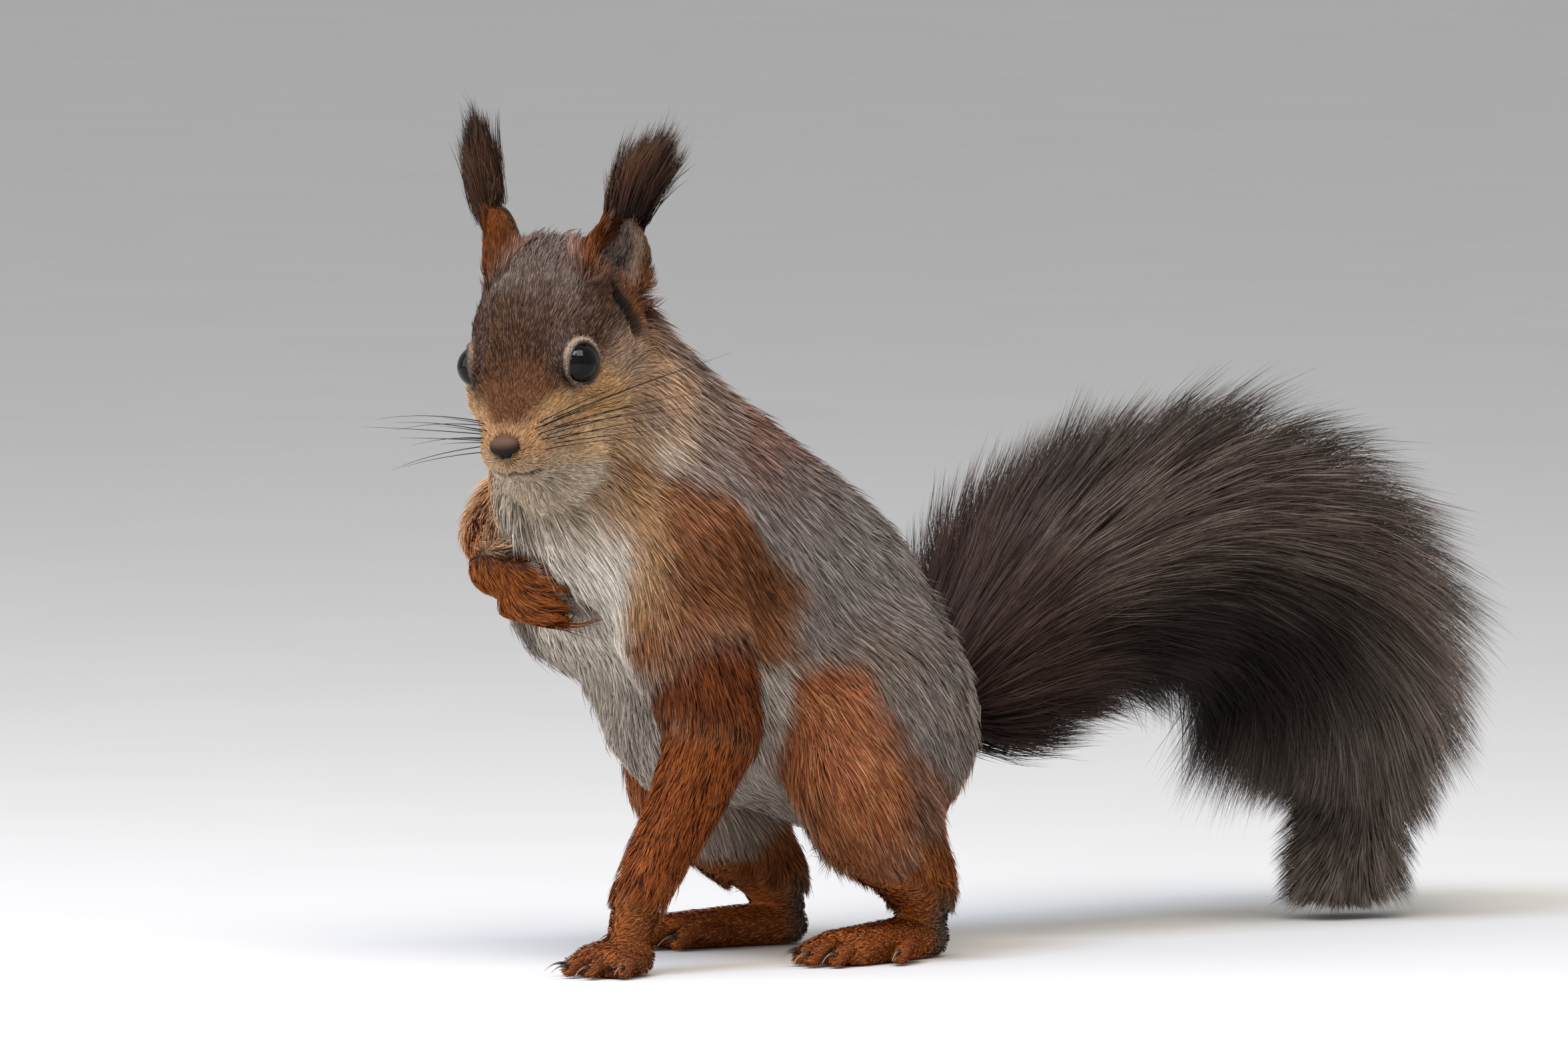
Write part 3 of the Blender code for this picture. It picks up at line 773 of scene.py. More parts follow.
def refined(mesh):
    # smaller faces round the eyes and over the muzzle
    form = bmesh.new()
    form.from_mesh(mesh)
    bmesh.ops.triangulate(form, faces=form.faces)
    bmesh.ops.remove_doubles(form, verts=form.verts, dist=1e-6)
    for eyeReach, muzzleStart in ((10.5, 13.5), (7.6, None)):
        places = np.array([vert.co for vert in form.verts]) / mm
        chosen = eyeDistance(places) < eyeReach
        if muzzleStart is not None:
            chosen |= (onHead(places)[:, 0] > muzzleStart) & (eyeDistance(places) < 30)
        form.verts.ensure_lookup_table()
        edges = [edge for edge in form.edges if chosen[edge.verts[0].index] and chosen[edge.verts[1].index]]
        bmesh.ops.subdivide_edges(form, edges=edges, cuts=1, use_grid_fill=True)
        bmesh.ops.triangulate(form, faces=form.faces)
        form.verts.index_update()
    return readMesh(toMesh(form))


skinPoints, skinTriangles = refined(skinMesh)
skinNet = netOf(skinTriangles, len(skinPoints))
print("face refined:", len(skinPoints), "points,", len(skinTriangles), "triangles")

eyeSettings = {
    "gaze": (0.34, 0.92, 0.17),     # the way the left eye looks, on the head
    "opening": 62.5,                # half angle of the lids' opening, degrees
    "corner": 10.0,                 # how much further it opens at its front lower corner
    "cornerRoll": -11.0,            # where that corner is, round the eye from the front
    "lidHeight": 0.42,              # lid over the ball
    "tuck": 0.9,                    # how far the hide dives behind the ball inside the opening
    "fade": 28.0,                   # degrees over which the lid flows into the face
}


def eyeAxes(side):
    # gaze, front and top of an eye, in the world
    gaze = np.array(eyeSettings["gaze"]) * (1, side, 1)
    front = np.array([1.0, 0, 0]) - unit(gaze) * dots(unit(gaze), np.array([1.0, 0, 0]))
    gaze, front = unit(gaze) @ headAxes, unit(front) @ headAxes
    top = np.cross(gaze, front)
    return gaze, front, top if dots(top, upward) > 0 else -top


def openingAt(roll):
    # half angle of the opening, roll in radians from the front towards the top
    corner = math.radians(eyeSettings["cornerRoll"])
    away = np.angle(np.exp(1j * (roll - corner)))
    rear = np.angle(np.exp(1j * (roll - corner - math.pi)))
    extra = eyeSettings["corner"] * np.exp(-(away / 0.42) ** 2) + 3 * np.exp(-(rear / 0.5) ** 2)
    return np.radians(eyeSettings["opening"] + extra)


def lidGap(points):
    # distance past the edge of the nearest eye's opening, less than 0 inside it, and how far above the eye
    gap, above = np.full(len(points), 50.0), np.zeros(len(points))
    for side in (1, -1):
        gaze, front, top = eyeAxes(side)
        out = points - eyeSpots[side]
        away = np.linalg.norm(out, axis=1)
        ray = unit(out)
        angle = np.arccos(np.clip(ray @ gaze, -1, 1))
        past = (angle - openingAt(np.arctan2(ray @ top, ray @ front))) * eyeRadius
        mine = np.where(past > 0, np.hypot(past, np.maximum(away - eyeRadius - 0.4, 0)), past)
        mine = np.where(away < eyeRadius * 3, mine, 50.0)
        closer = mine < gap
        gap, above = np.where(closer, mine, gap), np.where(closer, ray @ top, above)
    return gap, above


def sculptLids(points):
    for side in (1, -1):
        gaze, front, top = eyeAxes(side)
        out = points - eyeSpots[side]
        away = np.linalg.norm(out, axis=1)
        near = away < eyeRadius * 2
        ray = unit(out[near])
        angle = np.arccos(np.clip(ray @ gaze, -1, 1))
        edge = openingAt(np.arctan2(ray @ top, ray @ front))
        past = np.degrees(angle - edge)
        lid = eyeRadius + eyeSettings["lidHeight"]
        blend = ease(0, eyeSettings["fade"], past)
        wanted = lid + (np.maximum(away[near], lid + 0.1) - lid) * blend
        inner = eyeRadius - eyeSettings["tuck"]
        wanted = np.where(past < 0, inner, wanted)
        keep = ease(eyeRadius * 2, eyeRadius * 1.6, away[near])
        points[near] = eyeSpots[side] + ray * (away[near] + (wanted - away[near]) * keep)[:, None]
    return points


mouthMarks = ((21.9, 0.2, -13.4), (21.3, 1.2, -14.3), (20.9, 2.6, -14.6), (20.4, 4.0, -14.4),
              (20.2, 5.0, -14.2))


def mouthLine(side):
    return fromHead(smoothLine(np.array(mouthMarks) * (1, side, 1), 8))


def sculptMuzzle(points, normals):
    # a soft groove along the lips, and whisker pads that swell a little
    marks = onHead(points)
    near = (marks[:, 0] > 8) & (eyeDistance(points) < 30)
    groove = np.zeros(len(points))
    for side in (1, -1):
        tree = treeOf(mouthLine(side))
        found = np.array([tree.find(point)[2] for point in points[near].tolist()])
        groove[near] = np.maximum(groove[near], np.exp(-(found / 1.1) ** 2))
    for side in (1, -1):
        groove += 1.8 * np.exp(-(slitGap(points, side) / earSlit["half"]) ** 2)
    return points - normals * (groove * 0.8)[:, None]


skinNormals = unit(spread(normalsOf(skinPoints, skinTriangles), skinNet, 2))
skinPoints = sculptMuzzle(skinPoints, skinNormals)
skinPoints = sculptLids(skinPoints)
skinNormals = unit(spread(normalsOf(skinPoints, skinTriangles), skinNet, 1))
skinWeights = weightsAt(skinPoints, skinNet, 16)
skinMarks = onHead(skinPoints)
skinTree = treeOf(skinPoints)


def lipLine(side):
    # the mouth's line, on the hide
    line = skinPoints[nearest(skinTree, mouthLine(side))]
    for _ in range(6):
        line[1:-1] = (line[:-2] + 2 * line[1:-1] + line[2:]) / 4
    return line


def gapTo(lines, points, near):
    # distance from each point where near holds to the nearest of the lines, and 50 elsewhere
    tree = treeOf(np.concatenate(lines))
    gap = np.full(len(points), 50.0)
    gap[near] = [tree.find(point)[2] for point in points[near].tolist()]
    return gap


nearLips = (skinMarks[:, 0] > 10) & (eyeDistance(skinPoints) < 30)
lipGap = gapTo([lipLine(1), lipLine(-1)], skinPoints, nearLips)
pawShare = skinWeights[:, [fleshNodes.index(name) for name in pawNodes]].sum(axis=1)
creaseGap = gapTo(creases, skinPoints, pawShare > 0.3)
clawGap = gapTo([np.array([base for base, _ in claws])], skinPoints, pawShare > 0.3)
print("lids and muzzle sculpted")


# the coat's lie, length, depth and colours, at any point of the hide

coatSettings = {
    "lie": {                # the way the hair lies: to the left, back and up
        "neck": (0.0, 0.62, -0.78), "trunk": (0.0, 0.58, -0.82), "thigh": (0.1, 0.42, -0.9),
        "shank": (0.0, 0.4, -0.92), "hind_foot": (0.2, -0.97, -0.12), "upper_arm": (0.1, 0.25, -0.96),
        "forearm": (-0.1, -0.38, -0.92), "forepaw": (0.1, -0.98, -0.2), "tail": (0.0, 0.9, 0.3),
    },
    "heldLie": {            # the held arm's own
        "upper_arm_right": (-0.35, -0.5, -0.75), "forearm_right": (0.7, -0.4, -0.6),
        "forepaw_right": (0.64, 0.77, -0.1),
    },
    "partingPlace": (33.0, 0.0, -9.0),      # on the head, the point the face's hair runs from
    "length": {
        "head": 5.0, "neck": 8.5, "trunk": 9.2, "thigh": 10.5, "shank": 6.5, "hind_foot": 1.9,
        "upper_arm": 8.0, "forearm": 5.5, "forepaw": 1.6, "ear": 3.0, "tail": 12.0,
    },
}

furs = {                    # dark, middle and light hairs of each stretch of the coat
    "upperBack": ("452d21", "775445", "ad8673"),
    "midBack": ("534942", "7c716a", "aba198"),
    "lowBack": ("483e37", "73685f", "a49a8f"),
    "flank": ("45342a", "67533f", "947a64"),
    "shoulder": ("4c2811", "7c4b2d", "b07e55"),
    "shoulderLow": ("33170a", "5f361c", "91603a"),
    "shoulderEdge": ("7a5536", "ab8257", "dfc39c"),
    "upperArm": ("361405", "5e2c10", "925022"),
    "armFront": ("7d5531", "ad814f", "dec19a"),
    "forearm": ("4a1e07", "7c3d15", "ad672f"),
    "heldArm": ("5a2c10", "9a5826", "d4965c"),
    "paw": ("6a3512", "a25a2a", "cf8a50"),
    "fist": ("32150a", "7d4016", "c4783a"),
    "thigh": ("46281a", "6e4a39", "9c7a68"),
    "thighFront": ("5c2b0f", "8c4c29", "bf8654"),
    "shank": ("47200a", "7e4117", "b06d36"),
    "hindFoot": ("7c3f14", "b5632c", "e09a5c"),
    "heel": ("473a2d", "6c5c4a", "a08f79"),
    "bib": ("a89f91", "cec4b5", "efe8dd"),
    "belly": ("7a7064", "9c9286", "c8beb0"),
    "farShoulder": ("a87648", "dcaa78", "f8ddb4"),
    "crown": ("1a100a", "3d291e", "957a68"),
    "crownTop": ("30251f", "615248", "a99b8e"),
    "earFoot": ("1c1009", "3c271a", "6e5038"),
    "brow": ("1a0d07", "3a2214", "8a5f3a"),
    "bridge": ("321b0e", "5e3921", "93663f"),
    "muzzle": ("7a5a3a", "a87c54", "d5ae84"),
    "pad": ("846c56", "ae9377", "dcc6ad"),
    "cheek": ("80583a", "be925f", "eec79c"),
    "cheekLow": ("8f6e4c", "c4a077", "efd3ac"),
    "temple": ("554233", "8d725c", "cbb19b"),
    "neckSide": ("755a43", "a98b6c", "dcc2a2"),
    "neckUpper": ("574a40", "87786b", "bdb0a3"),
    "eyeRing": ("7d6553", "a48b77", "c9b4a1"),
    "cheekRear": ("8a6547", "c09873", "ecd0b0"),
    "lip": ("8a745a", "b69e7f", "e2cfb2"),
    "chin": ("7d6c58", "b09c84", "ece0d0"),
    "earBack": ("2e1d13", "56391f", "8f6f52"),
    "earEdge": ("2e1406", "61300f", "9c5c27"),
    "earInner": ("2e2420", "5a4b44", "9c8c80"),
    "earPale": ("6b5646", "937865", "c0a491"),
    "earSlit": ("050303", "0f0907", "241a14"),
    "earFlesh": ("40291f", "5e4236", "86695a"),
    "tuft": ("0c0807", "251c18", "544740"),
    "tuftEdge": ("2c190d", "5a3721", "93663f"),
    "tailRoot": ("19100d", "30201a", "584138"),
    "tailTop": ("1c1613", "473a32", "88786a"),
    "tailEnd": ("443a33", "786a5f", "b1a296"),
    "tailCore": ("060403", "0f0907", "221712"),
    "creaseShade": ("060403", "100906", "1c110b"),
}
furTones = {name: np.array([linear(tone) for tone in hexes]) for name, hexes in furs.items()}


def laid(coat, name, share):
    # one fur laid over the coat's tones where share is 1
    return coat + (furTones[name] - coat) * np.clip(share, 0, 1)[:, None, None]


def furAt(points, normals, weights):
    # dark, middle and light tone of the coat, point by point
    share = {name: weights[:, number] for number, name in enumerate(fleshNodes)}
    kinds = {}
    for name, value in share.items():
        kinds[kindOf(name)] = kinds.get(kindOf(name), 0) + value
    x, y, z = points.T
    drift = waves(points, 24, 5) * 3            # borders wander a little
    faces = {"front": -normals[:, 1], "side": np.abs(normals[:, 0])}
    body = np.clip(kinds["trunk"] + kinds["neck"], 0, 1)

    coat = np.repeat(furTones["midBack"][None], len(points), axis=0)
    coat = laid(coat, "lowBack", ease(100, 72, z + drift))
    coat = laid(coat, "upperBack", ease(104, 126, z + drift))
    coat = laid(coat, "flank", ease(86, 62, z + drift) * ease(0.1, 0.6, faces["side"]) * ease(-20, -55, y))
    coat = laid(coat, "neckUpper", kinds["neck"] * 0.6)
    # pale between the arm and the thigh, on the flank's lower side
    lowSide = ease(78, 71, z + drift) * ease(-57, -64, y + 0.8 * np.maximum(np.abs(x) - 15, 0)) * body
    coat = laid(coat, "belly", lowSide)
    # the rufous shoulder ends behind along a slanting border, and above the arm's rear edge
    slant = z + 0.7 * y + drift
    shoulder = ease(42, 35, slant) * ease(6, 15, np.abs(x)) * ease(-72, -82, y + drift * 0.5)
    shoulder = shoulder * ease(72, 78, z) * body * np.where(x < 0, ease(90, 97, z), 1)
    coat = laid(coat, "shoulder", shoulder)
    coat = laid(coat, "shoulderLow", shoulder * ease(108, 98, z + drift) * ease(82, 92, z) * 0.85)
    coat = laid(coat, "farShoulder", ease(2, -6, x) * ease(84, 92, z) * ease(-112, -120, y) * body)
    side = ease(0.35, 0.75, faces["side"]) * ease(117, 122, z) * ease(132, 126, z)
    coat = laid(coat, "neckSide", side * ease(-104, -112, y) * body * 0.8)
    edge = ease(-112, -117, y) * ease(80, 88, z) * ease(120, 114, z) * ease(11, 16, x) * body
    coat = laid(coat, "shoulderEdge", edge * 0.75)
    breast = breastShare(points, normals) * body
    coat = laid(coat, "bib", breast)
    coat = laid(coat, "belly", breast * ease(84, 70, z))

    coat = laid(coat, "upperArm", share["upper_arm_left"])
    armFront = kinds["upper_arm"] * ease(0.7, 0.95, faces["front"]) * ease(70, 84, z)
    coat = laid(coat, "armFront", armFront * 0.7)
    coat = laid(coat, "heldArm", share["upper_arm_right"])
    coat = laid(coat, "farShoulder", share["upper_arm_right"] * ease(88, 98, z))
    coat = laid(coat, "bib", share["upper_arm_right"] * ease(89, 83, z) * 0.85)
    coat = laid(coat, "forearm", share["forearm_left"])
    coat = laid(coat, "heldArm", share["forearm_right"] * ease(80, 87, z))
    coat = laid(coat, "paw", share["forepaw_left"])
    coat = laid(coat, "fist", ease(0.4, 0.75, share["forepaw_right"]))
    legs = np.clip(kinds["thigh"], 0, 1)
    coat = laid(coat, "lowBack", legs)
    front = body * ease(-82, -76, y) * ease(-52, -58, y) * ease(17, 23, np.abs(x))
    rufous = (legs + front) * ease(6, -2, z + 1.1 * y + drift) * ease(76, 69, z + drift * 0.6)
    coat = laid(coat, "thigh", rufous)
    coat = laid(coat, "thighFront", rufous * ease(-54, -68, y + drift) * 0.9)
    coat = laid(coat, "shank", kinds["shank"])
    coat = laid(coat, "hindFoot", kinds["hind_foot"])
    heel = (kinds["hind_foot"] + kinds["shank"]) * ease(-40, -32, y) * ease(26, 12, z)
    coat = laid(coat, "heel", heel)
    inward = -normals[:, 0] * np.sign(x)
    coat = laid(coat, "belly", legs * ease(0.2, 0.7, inward) * 0.8)
    # painted shade: near black in the creases between the toes and between the fingers
    coat = laid(coat, "creaseShade", ease(1.25, 0.7, creaseGap) * 0.9)
    coat = laid(coat, "tailRoot", kinds["tail"])
    return headFur(coat, points, normals, kinds)


def breastShare(points, normals):
    # 1 on the pale front, from the throat down to the groin; the bib turns with the head
    x, _, z = points.T
    half = 17 - 7.5 * ease(84, 98, z)
    centre = 1 + 7 * ease(84, 98, z)
    inside = ease(half + 3, half - 3, np.abs(x - centre) + waves(points, 18, 8) * 2)
    return inside * ease(0.05, 0.4, -normals[:, 1] - 0.35 * normals[:, 2]) * ease(134, 124, z)


earHollow = {"across": 0.0, "half": 0.8, "height": 0.48, "rise": 0.58}


def headFur(coat, points, normals, kinds):
    marks = onHead(points)
    f, l, u = marks.T
    side = np.abs(l)
    drift = waves(points, 9, 6) * 1.2
    own = kinds["head"]
    face = laid(coat, "crown", np.ones(len(points)))
    face = laid(face, "crownTop", ease(-1, -19, f + drift) * ease(1, 13, u) * ease(13, 9, side))
    face = laid(face, "brow", ease(-12, 4, f + drift) * ease(11, 4, side) * ease(-2, 3, u + 0.55 * f) * 0.9)
    face = laid(face, "bridge", ease(6, 12, f + drift) * ease(11, 6, side))
    face = laid(face, "cheek", ease(0, -6, u + drift) * ease(2, 8, side) * 0.9)
    temple = ease(-1, -6, f) * ease(8, 14, side) * ease(-13, -8, u) * ease(5, -5, u + drift)
    face = laid(face, "temple", temple)
    face = laid(face, "cheekLow", ease(-8, -15, u + drift) * ease(5, 9, side) * ease(13, 8, f))
    face = laid(face, "muzzle", ease(11, 18, f + drift) * ease(3.6, 8.5, side + ease(-2, -6, u) * 4))
    face = laid(face, "muzzle", ease(17.5, 20, f) * 0.9)
    face = laid(face, "pad", np.exp(-((f - 15) / 4) ** 2 - ((u + 9) / 4) ** 2) * ease(5, 8, side) * 0.8)
    face = laid(face, "neckSide", ease(-9, -15, f) * ease(-6, -11, u + drift) * ease(7, 12, side) * 0.5)
    level = u + 0.5 * np.clip(20 - f, 0, 25)    # falls along the jaw as the mouth's line does
    face = laid(face, "lip", ease(-8.5, -12.5, level + drift * 0.5) * ease(6, 12, f) * 0.75)
    face = laid(face, "chin", ease(-13.0, -14.8, level) * ease(-12, -2, f))
    # painted shade: near black in the groove along the lips
    face = laid(face, "creaseShade", ease(0.9, 0.4, lipGap))
    gap, above = lidGap(points)
    width = 0.35 + 0.85 * ease(-0.3, 0.9, above)
    face = laid(face, "eyeRing", ease(width + 0.6, width - 0.2, gap) * (0.9 - 0.45 * ease(0, -6, l)))
    for way in (1, -1):
        height, across = onEar(points, way)
        mine = ease(9, 12, l * way)
        foot = ease(2.0, 1.2, np.abs(across)) * ease(-0.5, -0.15, height) * ease(-19, -13, f)
        face = laid(face, "earFoot", mine * foot * 0.85)
        past = across - 0.4 * ease(0.1, -0.3, height) * (-height)
        rear = ease(0.05, 0.3, past) * ease(1.9, 1.4, across) * ease(-0.75, -0.55, height)
        face = laid(face, "earEdge", mine * rear * ease(0.6, 0.3, height) * 0.85)
        # painted shade: near black in the slit below the ear
        face = laid(face, "earSlit", ease(2.7, 1.7, slitGap(points, way)))
    coat = coat + (face - coat) * np.clip(own, 0, 1)[:, None, None]

    ear = kinds["ear"]
    flap = laid(coat, "earBack", np.ones(len(points)))
    for way in (1, -1):
        mine = ease(-0.5, 0.5, l * way)
        height, across = onEar(points, way)
        open = ease(-0.35, 0.15, normals @ earAxes(way)[2]) * mine
        front, rear = ease(-0.45, -0.8, across), ease(0.6, 0.95, across)
        flap = laid(flap, "earEdge", mine * front)
        flap = laid(flap, "earEdge", mine * rear * ease(0.5, 0.1, height) * 0.8)
        rim = np.hypot((across - earHollow["across"]) / earHollow["half"],
                       (height - earHollow["height"]) / earHollow["rise"])
        flap = laid(flap, "earPale", open * ease(1.35, 1.1, rim) * ease(-0.9, -0.5, across) * 0.8)
        flap = laid(flap, "earInner", open * ease(1.02, 0.86, rim))
        bare = open * ease(0.34, 0.2, height) * ease(-0.35, 0.0, across) * ease(0.8, 0.6, across)
        flap = laid(flap, "earFlesh", bare * 0.8)
        # painted shade: near black in the slit below the ear
        flap = laid(flap, "earSlit", ease(2.0, 1.2, slitGap(points, way)))
    coat = coat + (flap - coat) * np.clip(ear, 0, 1)[:, None, None]
    rearCheek = np.exp(-((f + 19) / 6) ** 2 - ((side - 20) / 7) ** 2 - ((u + 15) / 8) ** 2)
    return laid(coat, "cheekRear", rearCheek * 0.9)


def wristShare(points):
    # 1 on the held wrist, 0 on its fingers
    centre = spot("forepaw_right", *fist["centre"]) + heldShift
    return ease(-1.5, -4.5, (points - centre) @ np.array(fist["across"]))


def lieAt(points, normals, weights, net):
    # the way the hair lies, along the hide
    way = np.zeros_like(points)
    for number, name in enumerate(fleshNodes):
        side = -1 if name.endswith("right") else 1
        kind = kindOf(name)
        if name == "head":
            own = unit(points - fromHead(coatSettings["partingPlace"]))
        elif kind == "ear":
            own = earRises[side][None]
        elif name in coatSettings["heldLie"]:
            own = unit(np.array(coatSettings["heldLie"][name]))[None]
            if name == "forepaw_right":
                # along the fingers, and down the wrist
                own = own + np.array([-0.1, 0.0, -1.6]) * wristShare(points)[:, None]
        else:
            own = unit(np.array(coatSettings["lie"][kind]) * (side, 1, 1))[None]
        way += weights[:, number, None] * own
    fan = breastShare(points, normals) * 0.015
    way[:, 0] += fan * (points[:, 0] - 3)
    for side in (1, -1):
        mine = ease(9, 6, np.linalg.norm(points - eyeSpots[side], axis=1))
        way += unit(points - eyeSpots[side]) * (mine * 1.3)[:, None]
    for _ in range(3):
        way = unit(way - normals * dots(way, normals)[:, None])
        way = spread(way, net, 5)
    return unit(way - normals * dots(way, normals)[:, None])


def napeShare(points):
    # 1 just behind an ear's foot, where the fur stands out
    f, l, u = onHead(points).T
    return np.exp(-((f + 29) ** 2 + (np.abs(l) - 16) ** 2 + (u - 0.5) ** 2) / 42)


def lengthAt(points, normals, weights):
    length = byKind(weights, coatSettings["length"])
    f, l, u = onHead(points).T
    gap, _ = lidGap(points)
    head = np.full(len(points), 3.6)
    head += (6.0 - head) * ease(-4, -12, u) * ease(4, -8, f)
    head += (9.5 - head) * ease(-11, -18, f) * ease(6, 13, u) * ease(13, 9, np.abs(l))
    head += (8.5 - head) * napeShare(points)
    head += (2.6 - head) * ease(-4, 4, f) * ease(-6, 0, u)
    head += (1.5 - head) * ease(8, 14, f)
    level = u + 0.5 * np.clip(20 - f, 0, 25)
    head += (6.5 - head) * ease(-14.5, -17, level) * ease(-14, -4, f)
    head += (1.0 - head) * ease(3.2, 1.2, gap)
    slit = np.minimum(slitGap(points, 1), slitGap(points, -1))
    head += (1.6 - head) * ease(5.0, 2.5, slit)
    own = ease(0.3, 0.8, kindShare(weights, "head"))
    length = length + (head - length) * own
    ear = kindShare(weights, "ear")
    for side in (1, -1):
        mine = ear * ease(-0.5, 0.5, l * side)
        height, across = onEar(points, side)
        edge = np.maximum(ease(-0.4, -0.9, across), ease(0.8, 1.1, height))
        length = length + (6.5 - length) * mine * edge
        inside = ease(0.9, 0.7, np.hypot(across / 0.7, (height - 0.55) / 0.5))
        inside = inside * ease(-0.2, 0.2, normals @ earAxes(side)[2])
        length = length + (2.2 - length) * mine * inside
    breast = breastShare(points, normals) * (1 - own)
    z = points[:, 2]
    length = length + (11 + 4 * ease(80, 98, z) - length) * breast
    held = weights[:, fleshNodes.index("forepaw_right")]
    length = length + (4.2 - length) * ease(0.5, 0.9, held) * wristShare(points)
    body = kindShare(weights, "trunk", "neck")
    length = length * np.clip(1 - 3.4 * held * body, 0.1, 1)    # short where the fist meets the breast
    length = length + (1.2 - length) * ease(1.8, 0.9, creaseGap)
    return length + (1.0 - length) * ease(6.0, 3.2, clawGap)


def depthAt(points, weights):
    depth = byKind(weights, hideSettings["coatDepth"])
    f, _, u = onHead(points).T
    head = headDepth(onHead(points), eyeDistance(points)) + 5.0 * ease(-12, -20, f) * ease(5, 12, u)
    depth = depth + (head - depth) * ease(0.3, 0.8, kindShare(weights, "head"))
    return depth + 3.2 * napeShare(points)


skinLie = lieAt(skinPoints, skinNormals, skinWeights, skinNet)
skinLength = lengthAt(skinPoints, skinNormals, skinWeights)
skinDepth = depthAt(skinPoints, skinWeights)
skinFur = furAt(skinPoints, skinNormals, skinWeights)
skinLoose = 1 - 0.65 * ease(0.3, 0.8, pawShare)      # how far hairs wander from the lie
print("coat mapped")


# hairs

def centreLines(roots, ups, ways, lengths, lifts, steps):
    # from each root along the hide, rising to the coat's depth
    lines = [roots]
    place, way, up = roots, ways, ups
    for step in range(1, steps + 1):
        place = place + way * (lengths / steps)[:, None]
        near = nearest(skinTree, place)
        fresh = skinNormals[near]
        height = dots(place - skinPoints[near], fresh)
        share = step / steps
        wanted = lifts * (2 * share - share * share)
        follows = (dots(fresh, up) > 0.3) & (np.abs(height) < 6)
        up = np.where(follows[:, None], fresh, up)
        place = place + np.where(follows, wanted - height, lifts * 0.2)[:, None] * up
        turned = way * 0.55 + np.where(follows[:, None], skinLie[near], way) * 0.45
        way = unit(turned - up * dots(turned, up)[:, None] * follows[:, None])
        lines.append(place)
    return np.stack(lines, axis=1)


def clumped(lines, leaders, pull):
    # hairs drawn towards the tip of the leader nearest their root
    tree = treeOf(lines[:leaders, 0])
    mine = nearest(tree, lines[:, 0])
    shares = np.linspace(0, 1, lines.shape[1])[None, :, None]
    offset = (lines[:, :1] - lines[mine][:, :1]) * (1 - 0.8 * shares)
    target = lines[mine] + offset
    return lines + (target - lines) * pull * shares, mine


def bladesFrom(lines, widths, ups, rolls, profile):
    # flat tapered blades along the centre lines: points and triangles, tip last
    count, stations, _ = lines.shape
    along = np.diff(lines, axis=1)
    along = unit(np.concatenate([along, along[:, -1:]], axis=1))
    side = unit(np.cross(along, ups[:, None]))
    flat = np.cross(side, along)
    turn = rolls[:, None, None]
    side = side * np.cos(turn) + flat * np.sin(turn)
    half = widths[:, None, None] / 2 * np.array(profile)[None, :, None]
    left, rightSide = lines[:, :-1] - side[:, :-1] * half, lines[:, :-1] + side[:, :-1] * half
    pairs = np.stack([left, rightSide], axis=2).reshape(count, -1, 3)
    points = np.concatenate([pairs, lines[:, -1:]], axis=1)
    single = []
    for step in range(stations - 2):
        a = step * 2
        single += [(a, a + 1, a + 3), (a, a + 3, a + 2)]
    last = (stations - 2) * 2
    single.append((last, last + 1, last + 2))
    size = points.shape[1]
    triangles = (np.arange(count)[:, None, None] * size + np.array(single)[None]).reshape(-1, 3)
    return points, triangles, np.cross(along, side)


def bakePlaces(roots, labels):
    # a tile for each node; in it, the way round the node's long axis and the way along it
    present = np.unique(labels)
    across = math.ceil(math.sqrt(len(present)))
    places = np.zeros((len(roots), 2))
    for tile, label in enumerate(present):
        mine = labels == label
        here = roots[mine]
        low, high = here.min(axis=0), here.max(axis=0)
        longest = int(np.argmax(high - low))
        rest = [axis for axis in range(3) if axis != longest]
        middle = (low + high) / 2
        angle = np.arctan2(here[:, rest[0]] - middle[rest[0]], here[:, rest[1]] - middle[rest[1]])
        along = (here[:, longest] - low[longest]) / (high[longest] - low[longest] + 1e-6)
        corner = np.array([tile % across, tile // across])
        inTile = np.stack([0.03 + 0.94 * (angle / (2 * math.pi) + 0.5), 0.03 + 0.94 * along], axis=1)
        places[mine] = (corner + inTile) / across
    return places


hairSettings = {
    "patch": 0.003,         # size of one hair on the bake's map
    "soft": 0.65,           # how much a hair is lit as the coat round it is
    "roll": 0.8,            # most that a blade turns about its own line, radians
    "lightTips": 0.36, "darkTips": 0.34,
    "lockShare": 0.35,      # share of hairs whose tip is toned as their lock's
    "yaw": 0.17, "swirl": 0.2,      # radians that hairs turn from the lie, one by one and in swirls
    "spans": (0.72, 1.16), "lifts": (0.62, 1.08),   # a hair's length and height against its place's own
    "strays": 0.06, "strayLength": 1.25, "strayLift": 1.35,     # share of hairs that stick out, and how far
    "widths": (0.14, 0.36),         # the finest and the coarsest hair
}


